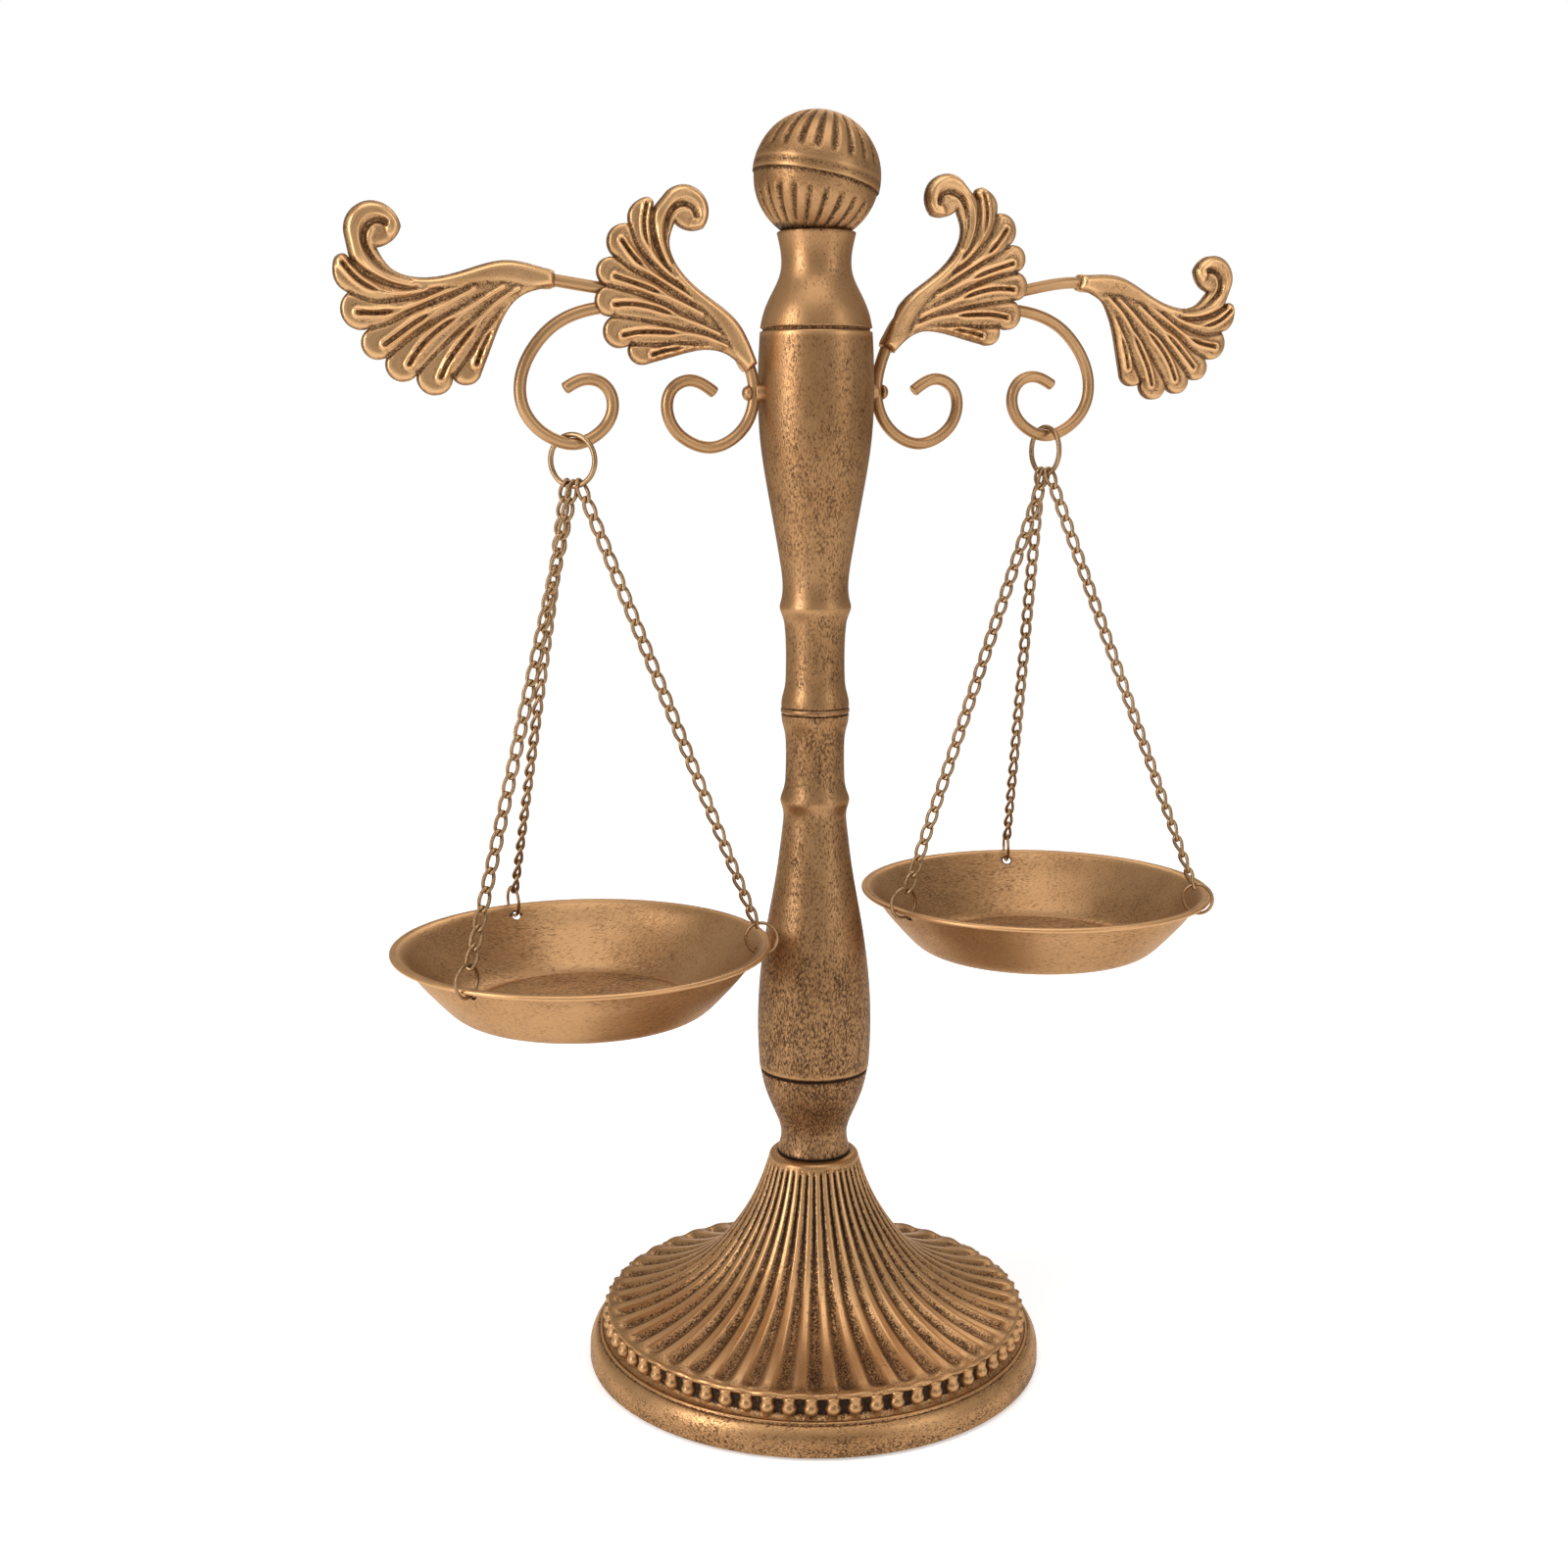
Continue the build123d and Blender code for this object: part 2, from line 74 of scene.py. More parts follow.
# ---- curves ----
def spline(points, count):
    """A natural cubic through the points, with the chord lengths as its parameter."""
    p = np.array(points, float)
    t = np.concatenate([[0.0], np.cumsum(np.linalg.norm(np.diff(p, axis=0), axis=1))])
    n = len(p)
    h = np.diff(t)
    a = np.zeros((n, n))
    b = np.zeros((n, p.shape[1]))
    a[0, 0] = a[-1, -1] = 1.0
    for i in range(1, n - 1):
        a[i, i - 1] = h[i - 1]
        a[i, i] = 2.0 * (h[i - 1] + h[i])
        a[i, i + 1] = h[i]
        b[i] = 6.0 * ((p[i + 1] - p[i]) / h[i] - (p[i] - p[i - 1]) / h[i - 1])
    m = np.linalg.solve(a, b)
    s = np.linspace(0.0, t[-1], count)
    i = np.clip(np.searchsorted(t, s, side="right") - 1, 0, n - 2)
    u = (s - t[i])[:, None]
    hi = h[i][:, None]
    slope = (p[i + 1] - p[i]) / hi - hi * (2.0 * m[i] + m[i + 1]) / 6.0
    return p[i] + slope * u + m[i] / 2.0 * u ** 2 + (m[i + 1] - m[i]) / (6.0 * hi) * u ** 3


def arc(start, via, end, count):
    """The circular arc through three points of a plane."""
    (ax, ay), (bx, by), (cx, cy) = start, via, end
    d = 2.0 * (ax * (by - cy) + bx * (cy - ay) + cx * (ay - by))
    ux = ((ax * ax + ay * ay) * (by - cy) + (bx * bx + by * by) * (cy - ay)
          + (cx * cx + cy * cy) * (ay - by)) / d
    uy = ((ax * ax + ay * ay) * (cx - bx) + (bx * bx + by * by) * (ax - cx)
          + (cx * cx + cy * cy) * (bx - ax)) / d
    first = atan2(ay - uy, ax - ux)
    middle = (atan2(by - uy, bx - ux) - first) % (2 * pi)
    sweep = (atan2(cy - uy, cx - ux) - first) % (2 * pi)
    if middle > sweep:
        sweep -= 2 * pi
    r = sqrt((ax - ux) ** 2 + (ay - uy) ** 2)
    turn = first + np.linspace(0.0, sweep, count)
    return np.stack([ux + r * np.cos(turn), uy + r * np.sin(turn)], axis=1)


def line(start, end, count=2):
    return np.linspace(start, end, count)


def joined(*runs):
    """Runs end to end, without the doubled points where they meet."""
    points = [runs[0]]
    for run in runs[1:]:
        gap = np.linalg.norm(run[0] - points[-1][-1])
        points.append(run[1:] if gap < 1e-6 else run)
    return np.concatenate(points)


def smooth_step(x, low, high):
    t = np.clip((x - low) / (high - low), 0.0, 1.0)
    return t * t * (3.0 - 2.0 * t)


def bell(d, width):
    return np.exp(-(d / width) ** 2)


def turns(count):
    """Angles that divide a full turn evenly."""
    return np.arange(count) * 2 * pi / count


def point_list(x, y, z):
    return np.stack([x, y, z], axis=-1).reshape(-1, 3)


# ---- meshes ----
def make_piece(name, points, faces, relief, material, sharp=None):
    """points in millimetres, faces as index arrays, relief from 0 (dark hollow: patina, partly painted shade)
    to 1 (rubbed bright, in places a painted highlight).
    """
    mesh = bpy.data.meshes.new(name)
    loops = np.concatenate([f.ravel() for f in faces]).astype(np.int32)
    sizes = np.concatenate([np.full(len(f), f.shape[1]) for f in faces])
    starts = np.concatenate([[0], np.cumsum(sizes)[:-1]]).astype(np.int32)
    mesh.vertices.add(len(points))
    mesh.vertices.foreach_set("co", (np.asarray(points, float) * MM).ravel())
    mesh.loops.add(len(loops))
    mesh.loops.foreach_set("vertex_index", loops)
    mesh.polygons.add(len(sizes))
    mesh.polygons.foreach_set("loop_start", starts)
    mesh.update(calc_edges=True)
    mesh.validate()
    mesh.polygons.foreach_set("use_smooth", np.ones(len(mesh.polygons), bool))
    if sharp:
        mesh.set_sharp_from_angle(angle=radians(sharp))
    values = np.broadcast_to(np.asarray(relief, float), (len(points),)).astype(np.float32)
    attribute = mesh.attributes.new("relief", "FLOAT", "POINT")
    attribute.data.foreach_set("value", values)
    mesh.materials.append(material)
    piece = bpy.data.objects.new(name, mesh)
    bpy.context.scene.collection.objects.link(piece)
    return piece


def grid_faces(rows, columns, wrap_rows, wrap_columns):
    i = np.arange(rows if wrap_rows else rows - 1)
    j = np.arange(columns if wrap_columns else columns - 1)
    i, j = np.meshgrid(i, j, indexing="ij")
    i2 = (i + 1) % rows
    j2 = (j + 1) % columns
    quads = np.stack([i * columns + j, i * columns + j2, i2 * columns + j2, i2 * columns + j], axis=-1)
    return quads.reshape(-1, 4)


def capped_faces(rows, columns):
    """A skin of rings with a flat face on its first and its last ring."""
    first = np.arange(columns)
    last = first + (rows - 1) * columns
    return [grid_faces(rows, columns, False, True)[:, ::-1], first[None, :], last[None, ::-1]]


def lathe(profile, columns, shape=None):
    """The closed profile (radius, height) turned about +Z. shape(radius, height, angle) may move points."""
    radius = np.repeat(profile[:, :1], columns, axis=1)
    height = np.repeat(profile[:, 1:], columns, axis=1)
    turn = np.repeat(turns(columns)[None, :], len(profile), axis=0)
    if shape:
        radius, height = shape(radius, height, turn)
    points = point_list(radius * np.cos(turn), radius * np.sin(turn), height)
    return points, grid_faces(len(profile), columns, True, True), turn


def tube_frames(path, closed):
    """Two cross directions at each point of a path, carried along it without twisting."""
    n = len(path)
    if closed:
        tangent = np.roll(path, -1, axis=0) - np.roll(path, 1, axis=0)
    else:
        tangent = np.gradient(path, axis=0)
    tangent /= np.linalg.norm(tangent, axis=1)[:, None]
    side = np.zeros_like(path)
    guess = np.array([0.0, 1.0, 0.0])
    if abs(tangent[0] @ guess) > 0.9:
        guess = np.array([1.0, 0.0, 0.0])
    for i in range(n):
        guess = guess - (guess @ tangent[i]) * tangent[i]
        guess = guess / np.linalg.norm(guess)
        side[i] = guess
    other = np.cross(tangent, side)
    if closed:
        last = side[-1] - (side[-1] @ tangent[0]) * tangent[0]
        slip = atan2(last @ other[0], last @ side[0])
        turn = -slip * np.arange(n) / n
        side, other = (side * np.cos(turn)[:, None] + other * np.sin(turn)[:, None],
                       other * np.cos(turn)[:, None] - side * np.sin(turn)[:, None])
    return tangent, side, other


def tube(path, radius, around, closed=False, chamfer=0.35):
    """A round wire along the path. Open ends are square, with a small chamfer."""
    path = np.asarray(path, float)
    radius = np.broadcast_to(np.asarray(radius, float), (len(path),)).copy()
    tangent, side, other = tube_frames(path, closed)
    if not closed:
        path = np.concatenate([path[:1], path[:1] + tangent[:1] * chamfer, path[1:-1],
                               path[-1:] - tangent[-1:] * chamfer, path[-1:]])
        side = np.concatenate([side[:1], side, side[-1:]])
        other = np.concatenate([other[:1], other, other[-1:]])
        radius = np.concatenate([radius[:1] - chamfer, radius[:1], radius[1:-1], radius[-1:],
                                 radius[-1:] - chamfer])
    turn = turns(around)
    ring = side[:, None, :] * np.cos(turn)[None, :, None] + other[:, None, :] * np.sin(turn)[None, :, None]
    points = (path[:, None, :] + ring * radius[:, None, None]).reshape(-1, 3)
    faces = [grid_faces(len(path), around, closed, True)]
    if not closed:
        rows = len(path)
        first = np.arange(around)
        points = np.concatenate([points, path[:1], path[-1:]])
        start_fan = np.stack([np.full(around, rows * around), (first + 1) % around, first], axis=1)
        last_ring = (rows - 1) * around
        end_fan = np.stack([np.full(around, rows * around + 1), last_ring + first,
                            last_ring + (first + 1) % around], axis=1)
        faces += [start_fan, end_fan]
    return points, faces


def mirrored(points, faces, side):
    """The right-hand shape, or its mirror image with its faces turned to keep them outwards."""
    if side == "right":
        return points, faces
    return points * np.array([-1.0, 1.0, 1.0]), [f[:, ::-1] for f in faces]


# ---- materials ----
def node(tree, kind, **values):
    made = tree.nodes.new(kind)
    for key, value in values.items():
        setattr(made, key, value)
    return made


def set_inputs(made, values):
    for name, value in values.items():
        made.inputs[name].default_value = value


GOLD = (0.44, 0.245, 0.108)
PATINA = (0.048, 0.018, 0.006)


def metal(name, bright, dark=PATINA, speckle=1400.0, streak=(1.0, 1.0, 1.0), wear=0.5, contrast=1.0,
          roughness=(0.36, 0.62), bump=0.25, patch=6.0):
    """Gold paint over a dark ground: dark in the hollows (patina, partly painted shade), speckled, rubbed
    bright on the raised parts (in places a painted highlight).
    """
    material = bpy.data.materials.new(name)
    material.use_nodes = True
    tree = material.node_tree
    tree.nodes.clear()
    link = tree.links.new
    output = node(tree, "ShaderNodeOutputMaterial")
    shader = node(tree, "ShaderNodeBsdfPrincipled")
    link(shader.outputs[0], output.inputs[0])
    place = node(tree, "ShaderNodeTexCoord")
    stretch = node(tree, "ShaderNodeMapping")
    set_inputs(stretch, {"Scale": streak})
    link(place.outputs["Object"], stretch.inputs["Vector"])

    def noise(scale, detail, rough, stretched=True):
        made = node(tree, "ShaderNodeTexNoise")
        set_inputs(made, {"Scale": scale, "Detail": detail, "Roughness": rough})
        link(stretch.outputs["Vector"] if stretched else place.outputs["Object"], made.inputs["Vector"])
        return made.outputs["Fac"]

    def math(operation, a, b, clamp=False):
        made = node(tree, "ShaderNodeMath", operation=operation, use_clamp=clamp)
        for socket, value in zip(made.inputs, (a, b)):
            if isinstance(value, (int, float)):
                socket.default_value = value
            else:
                link(value, socket)
        return made.outputs[0]

    def swing(value, amount):
        return math("MULTIPLY", math("SUBTRACT", value, 0.5), amount)

    def ramp(value, low, high):
        made = node(tree, "ShaderNodeMapRange", interpolation_type="SMOOTHSTEP")
        set_inputs(made, {"From Min": low, "From Max": high})
        link(value, made.inputs["Value"])
        return made.outputs["Result"]

    relief = node(tree, "ShaderNodeAttribute", attribute_name="relief").outputs["Fac"]
    specks = noise(speckle, 3.0, 0.75)
    patches = noise(speckle / patch, 4.0, 0.6)
    broad = noise(28.0, 3.0, 0.5, stretched=False)
    # Where the gold lies: relief decides, specks and patches break up its edge.
    fine_part = math("ADD", relief, swing(specks, 2.2 * contrast))
    coarse_part = math("ADD", swing(patches, 0.55 * contrast), swing(broad, 0.4 * contrast))
    height = math("ADD", fine_part, coarse_part)
    gold = ramp(height, wear - 0.50, wear + 0.22)
    # The highest relief gets a lighter gold: rubbed gold, and in places a painted highlight.
    shine = ramp(relief, 0.62, 1.0)

    def mix(factor, a, b):
        made = node(tree, "ShaderNodeMix", data_type="RGBA")
        link(factor, made.inputs["Factor"])
        for socket, value in ((made.inputs[6], a), (made.inputs[7], b)):
            if isinstance(value, tuple):
                socket.default_value = (*value, 1.0)
            else:
                link(value, socket)
        return made.outputs[2]

    brighter = tuple(min(1.0, c * 1.35) for c in bright)
    duller = tuple(c * k for c, k in zip(bright, (0.80, 0.74, 0.68)))
    tone = mix(ramp(broad, 0.35, 0.65), duller, bright)
    tone = mix(ramp(specks, 0.45, 0.75), tone, bright)
    tone = mix(shine, tone, brighter)
    colour = mix(gold, dark, tone)
    # Where relief is near 0 (the deepest hollows, the leaf walls, the wall under the skirt) the colour is a
    # matt near-black: a dark ground, partly painted shade. The rest is mostly metal.
    above_black_ground_and_shade = ramp(relief, 0.01, 0.10)
    colour = mix(above_black_ground_and_shade, tuple(c * 0.12 for c in dark), colour)
    link(colour, shader.inputs["Base Color"])
    metallic = math("MULTIPLY", math("ADD", math("MULTIPLY", gold, 0.34), 0.52), above_black_ground_and_shade, clamp=True)
    link(metallic, shader.inputs["Metallic"])
    set_inputs(shader, {"Specular IOR Level": 0.30, "Specular Tint": (0.74, 0.60, 0.47, 1.0),
                        "Coat Weight": 0.10, "Coat Roughness": 0.30})
    rough_low, rough_high = roughness
    rough = math("SUBTRACT", rough_high, math("MULTIPLY", gold, rough_high - rough_low))
    rough = math("ADD", rough, math("MULTIPLY", math("SUBTRACT", 1.0, above_black_ground_and_shade), 0.3))
    rough = math("ADD", rough, swing(patches, 0.22), clamp=True)
    link(rough, shader.inputs["Roughness"])
    grain = node(tree, "ShaderNodeBump")
    set_inputs(grain, {"Strength": bump, "Distance": 0.00025})
    link(math("ADD", specks, math("MULTIPLY", gold, 0.5)), grain.inputs["Height"])
    link(grain.outputs["Normal"], shader.inputs["Normal"])
    return material


cast_gold = metal("cast_gold", (0.385, 0.212, 0.094), speckle=1500.0, streak=(1.0, 1.0, 0.50), wear=0.52,
                  contrast=1.1, patch=7.0)
base_gold = metal("base_gold", GOLD, contrast=1.4, roughness=(0.31, 0.62))
band_gold = metal("band_gold", GOLD, speckle=1300.0, streak=(0.8, 0.8, 1.6), wear=0.54, contrast=1.4,
                  roughness=(0.31, 0.62))
finial_gold = metal("finial_gold", (0.40, 0.222, 0.098), speckle=1500.0, wear=0.48)
leaf_gold = metal("leaf_gold", (0.54, 0.315, 0.148), speckle=1700.0, wear=0.42, contrast=0.85,
                  roughness=(0.29, 0.55))
wire_gold = metal("wire_gold", (0.46, 0.265, 0.125), wear=0.30, contrast=0.6, bump=0.1)
pan_gold = metal("pan_gold", (0.495, 0.280, 0.128), speckle=1700.0, streak=(0.3, 0.8, 1.0), wear=0.42,
                 contrast=0.8, patch=7.0)
chain_gold = metal("chain_gold", (0.36, 0.225, 0.115), (0.05, 0.026, 0.014), speckle=1500.0, wear=0.38,
                   contrast=0.7, roughness=(0.28, 0.5))


def mottled(name, scale, detail, dark, light, settings):
    """A plain material whose colour varies with fine noise."""
    material = bpy.data.materials.new(name)
    material.use_nodes = True
    tree = material.node_tree
    shader = tree.nodes["Principled BSDF"]
    set_inputs(shader, settings)
    place = node(tree, "ShaderNodeTexCoord")
    grain = node(tree, "ShaderNodeTexNoise")
    set_inputs(grain, {"Scale": scale, "Detail": detail})
    tree.links.new(place.outputs["Object"], grain.inputs["Vector"])
    tint = node(tree, "ShaderNodeValToRGB")
    for stop, shade in zip(tint.color_ramp.elements, (dark, light)):
        stop.color = (*shade, 1)
    tree.links.new(grain.outputs["Fac"], tint.inputs["Fac"])
    tree.links.new(tint.outputs["Color"], shader.inputs["Base Color"])
    return material, shader, grain.outputs["Fac"]


def steel_material():
    material, shader, grain = mottled("zinc_steel", 700.0, 4.0, (0.36, 0.36, 0.37), (0.62, 0.62, 0.60),
                                      {"Metallic": 1.0})
    material.node_tree.links.new(grain, shader.inputs["Roughness"])
    return material


def felt_material():
    material, shader, fibres = mottled("dark_felt", 2500.0, 6.0, (0.02, 0.016, 0.012), (0.09, 0.075, 0.06),
                                       {"Roughness": 0.95, "Sheen Weight": 0.4})
    nap = node(material.node_tree, "ShaderNodeBump")
    set_inputs(nap, {"Strength": 0.6, "Distance": 0.0003})
    material.node_tree.links.new(fibres, nap.inputs["Height"])
    material.node_tree.links.new(nap.outputs["Normal"], shader.inputs["Normal"])
    return material


def paint_node(name, material):
    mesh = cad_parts[name].data
    mesh.materials.clear()
    mesh.materials.append(material)


steel = steel_material()
for hidden in ("base_washer", "base_nut", "tie_rod", "finial_washer", "finial_nut"):
    paint_node(hidden, steel)
paint_node("felt_disc", felt_material())


def finish_piece(piece, body, slot, *nodes):
    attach(piece, body)
    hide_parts(*nodes)


# ---- base: fluted bell, beads, foot band ----
BASE_R = 84.18
COLLAR_Z = 78.75
FLUTES = 42
BEADS = 64
BEAD_CIRCLE_R = 76.45


def base_profile():
    bell_side = joined(
        line((3.4, COLLAR_Z), (14.4, COLLAR_Z), 8),
        arc((14.4, COLLAR_Z), (16.0, 78.1), (16.7, 76.6), 8),
        spline([(16.7, 76.6), (19.6, 67.6), (23.7, 58.4), (29.4, 49.0), (40.0, 36.5), (50.0, 29.5),
                (60.0, 25.0), (76.6, 20.6)], 120),
        arc((76.6, 20.6), (77.5, 19.6), (76.4, 18.4), 8),
        line((76.4, 18.4), (76.6, 14.6), 8),
        arc((76.6, 14.6), (77.5, 12.7), (79.3, 11.7), 8),
    )
    band_side = joined(
        arc((79.3, 11.7), (79.85, 12.05), (80.3, 11.6), 5),
        arc((80.3, 11.6), (80.65, 11.1), (81.1, 11.2), 5),
        arc((81.1, 11.2), (83.2, 8.6), (84.1, 5.0), 14),
        line((84.1, 5.0), (BASE_R, 1.6), 6),
        arc((BASE_R, 1.6), (84.0, 1.2), (83.6, 1.0), 4),
    )
    inside = joined(
        line((83.6, 1.0), (70.0, 1.0), 3),
        line((70.0, 1.0), (70.0, 3.5)),
        line((70.0, 3.5), (79.4, 3.5), 3),
        line((79.4, 3.5), (77.4, 8.2), 3),
        line((77.4, 8.2), (74.0, 9.2), 3),
        line((74.0, 9.2), (72.6, 17.0), 3),
        spline([(72.6, 17.0), (59.0, 20.6), (48.6, 24.9), (37.0, 32.0), (25.6, 46.0), (19.4, 57.0),
                (15.2, 67.0), (13.0, 73.0)], 20),
        line((13.0, 73.0), (3.4, 74.0), 2),
    )
    profile = joined(bell_side, band_side)
    return np.concatenate([profile, inside[1:-1]]), len(bell_side), len(profile)


def flute(angle):
    """0 on the ridge, 1 in the middle of the groove."""
    return np.abs((angle * FLUTES / (2 * pi)) % 1.0 - 0.5) * 2.0


def on_bell(radius, height):
    """Where the flutes may be: above the skirt's edge and outside the collar."""
    return (height > 18.8) & (radius > 15.0)


def flute_strength(radius, height):
    upper = smooth_step(-height, -77.0, -74.4)
    lower = 1.0 - smooth_step(radius, 71.0, 75.8)
    return upper * lower


def base_shape(radius, height, angle):
    x = flute(angle)
    fluted = on_bell(radius, height)
    depth = 0.55 + 1.25 * smooth_step(radius, 19.0, 45.0)
    groove = smooth_step(x, 0.22, 0.95)
    cut = np.where(fluted, depth * groove * flute_strength(radius, height), 0.0)
    # The bell leans over from a steep neck to a nearly flat skirt, and the cut goes square to it.
    lean = smooth_step(radius, 20.0, 50.0)
    radius = radius - cut * (1.0 - lean) * 0.9
    height = height - cut * lean
    # The edge of the skirt is scalloped: it stands out at the ridges and dips at the grooves.
    edge = np.where(fluted, smooth_step(radius, 71.0, 76.0), 0.0)
    swell = 0.5 - smooth_step(x, 0.1, 0.95)
    return radius + edge * swell * 0.4, height + edge * swell * 0.5


def make_base():
    profile, bell_rows, outer_rows = base_profile()
    columns = FLUTES * 20
    points, faces, angle = lathe(profile, columns, base_shape)
    radius = np.repeat(profile[:, :1], columns, axis=1)
    height = np.repeat(profile[:, 1:], columns, axis=1)
    x = flute(angle)
    strength = np.where(on_bell(radius, height), flute_strength(radius, height), 0.0)
    ridge = 1.0 - smooth_step(x, 0.22, 0.82)
    hollow = 0.27 * smooth_step(radius, 20.0, 50.0)
    relief = 0.60 * (1.0 - strength) + strength * (hollow + (0.92 - hollow) * ridge)
    relief += 0.22 * bell(height - 20.0, 0.9) * (radius > 74.0)
    # The wall under the skirt, behind the beads, goes near black: a dark ground, partly painted shade in the
    # recess.
    wall = (height < 18.9) & (height > 13.4) & (radius > 75.0) & (radius < 77.2)
    relief = np.where(wall, 0.04, relief)
    # The concave ledge under the beads is a plainer, lighter gold: partly its finish, partly a painted
    # highlight.
    ledge = (height <= 13.4) & (height > 11.5) & (radius < 79.3)
    relief = np.where(ledge, 0.58, relief)
    relief += 0.35 * bell(radius - 79.9, 0.4) * (height > 11.3) * (height < 12.5)
    relief -= 0.35 * bell(radius - 80.7, 0.3) * (height > 10.5) * (height < 12.0)
    # The band's upper curve is lighter: a painted highlight. Its lower part is darker towards the bottom.
    relief += 0.22 * bell(height - 9.6, 1.4) * (radius > 80.9)
    relief -= 0.10 * smooth_step(-height, -6.0, -3.0) * (radius > 80.0)
    relief -= 0.60 * (height > 78.3) * (1.0 - smooth_step(radius, 13.5, 14.1))
    relief += 0.22 * bell(radius - 15.6, 1.0) * (height > 76.0)
    relief = relief.reshape(-1)
    relief[outer_rows * columns:] = 0.2
    piece = make_piece("base_bell", points, [faces[:, ::-1]], np.clip(relief, 0, 1), base_gold)
    piece.data.materials.append(band_gold)
    row = np.arange(len(faces)) // columns
    on_band = ((row >= bell_rows - 1) & (row < outer_rows)).astype(np.int32)
    piece.data.polygons.foreach_set("material_index", on_band)
    finish_piece(piece, "stand", "cast_gold", "base_shell")


def make_beads():
    """Pegs under the scalloped edge: a short bar that ends in a ball."""
    profile = joined(line((0.02, 19.4), (2.3, 19.4), 2), line((2.3, 19.4), (2.1, 17.0), 4),
                     arc((2.1, 17.0), (2.75, 15.4), (0.02, 12.8), 11))
    around = 18
    turn = turns(around)
    out = profile[:, :1] * np.cos(turn)
    z = np.repeat(profile[:, 1:], around, axis=1)
    bead = point_list(BEAD_CIRCLE_R + out, profile[:, :1] * np.sin(turn), z)
    skin = grid_faces(len(profile), around, False, True)[:, ::-1]
    points, faces = [], []
    for k in range(BEADS):
        c, s = cos(2 * pi * k / BEADS), sin(2 * pi * k / BEADS)
        points.append(bead @ np.array([[c, s, 0.0], [-s, c, 0.0], [0.0, 0.0, 1.0]]))
        start = k * len(bead)
        faces.append(skin + start)
        for row in (0, len(profile) - 1):
            faces.append((start + row * around + np.arange(around))[None, ::-1 if row == 0 else 1])
    # The beads are darker on their inner side, towards the wall, and lighter outside: painted shade inside,
    # rubbed gold and a painted highlight outside; a dark ring runs just below the bar.
    wear = 0.15 + 0.66 * smooth_step(out, -1.4, -0.2) - 0.15 * bell(z - 16.6, 0.35)
    relief = np.tile(np.clip(wear.reshape(-1), 0, 1), BEADS)
    piece = make_piece("base_beads", np.concatenate(points), faces, relief, base_gold)
    finish_piece(piece, "stand", "cast_gold")


make_base()
make_beads()


# ---- column ----
BORE_R = 7.5


def make_column(name, outer, relief_of, replaced):
    top, bottom = outer[-1][1], outer[0][1]
    inner = line((BORE_R, top), (BORE_R, bottom), 4)
    profile = np.concatenate([outer, inner])
    columns = 144
    points, faces, _ = lathe(profile, columns)
    relief = np.repeat(relief_of(profile[:, 1])[:, None], columns, axis=1)
    relief[len(outer):] = 0.1
    piece = make_piece(name, points, [faces], np.clip(relief.reshape(-1), 0, 1), cast_gold)
    finish_piece(piece, "stand", "cast_gold", replaced)


def bands(height, *marks):
    """The sum of soft bands around the column, each given as (height, width, strength)."""
    return sum(strength * bell(height - z, width) for z, width, strength in marks)


def lower_relief(height):
    plain = 0.40 + 0.12 * smooth_step(height, 120.0, 190.0)
    return plain + bands(height, (111.2, 0.5, -0.6), (112.6, 0.8, 0.35), (211.4, 3.5, 0.20),
                         (239.0, 3.0, 0.15), (242.7, 0.25, -0.5), (79.3, 0.8, -0.45))


def upper_relief(height):
    plain = 0.58 + 0.10 * smooth_step(height, 335.0, 360.0) + 0.12 * smooth_step(height, 372.0, 380.0)
    return plain + bands(height, (376.1, 0.5, -0.6), (374.7, 0.8, 0.35), (280.8, 3.5, 0.20),
                         (250.0, 4.0, 0.15), (245.2, 0.25, -0.5), (408.8, 0.7, -0.3))


def coupling_relief(height):
    return 0.66 + bands(height, (242.75, 0.2, -0.5), (245.15, 0.2, -0.5))


make_column("column_lower", joined(
    line((BORE_R, COLLAR_Z), (13.0, COLLAR_Z)),
    arc((13.0, COLLAR_Z), (13.4, 79.0), (13.45, 79.4), 4),
    spline([(13.45, 79.4), (12.2, 85.8), (14.9, 95.0), (18.3, 104.0), (19.7, 110.5)], 40),
    arc((19.7, 110.5), (19.2, 111.2), (20.1, 111.9), 9),
    spline([(20.1, 111.9), (20.7, 124.0), (20.3, 141.0), (17.0, 167.2), (13.9, 184.5), (11.6, 202.4),
            (11.4, 206.6), (11.95, 209.2), (12.45, 211.4), (11.95, 213.5), (11.1, 216.2), (10.6, 221.0),
            (10.5, 231.0), (11.0, 236.6), (11.8, 239.8), (12.05, 242.2)], 220),
    arc((12.05, 242.2), (12.05, 242.5), (11.8, 242.7), 4),
), lower_relief, "lower_column")

make_column("column_upper", joined(
    line((BORE_R, 245.2), (11.8, 245.2)),
    arc((11.8, 245.2), (12.05, 245.35), (12.1, 245.7), 4),
    spline([(12.1, 245.7), (11.9, 247.9), (11.0, 251.6), (10.5, 257.0), (10.5, 268.0), (10.85, 273.4),
            (11.4, 276.6), (12.2, 278.8), (12.65, 280.8), (12.2, 282.9), (11.75, 285.4), (12.5, 296.4),
            (16.6, 319.9), (19.6, 340.2), (20.2, 355.0), (20.0, 366.0), (19.5, 375.4)], 220),
    arc((19.5, 375.4), (18.6, 376.1), (19.4, 376.8), 9),
    spline([(19.4, 376.8), (18.5, 381.0), (15.3, 388.6), (12.5, 395.0), (12.1, 400.4), (13.5, 408.0)], 50),
    arc((13.5, 408.0), (13.5, 408.6), (13.0, 408.8), 4),
    line((13.0, 408.8), (BORE_R, 408.8)),
), upper_relief, "upper_column")

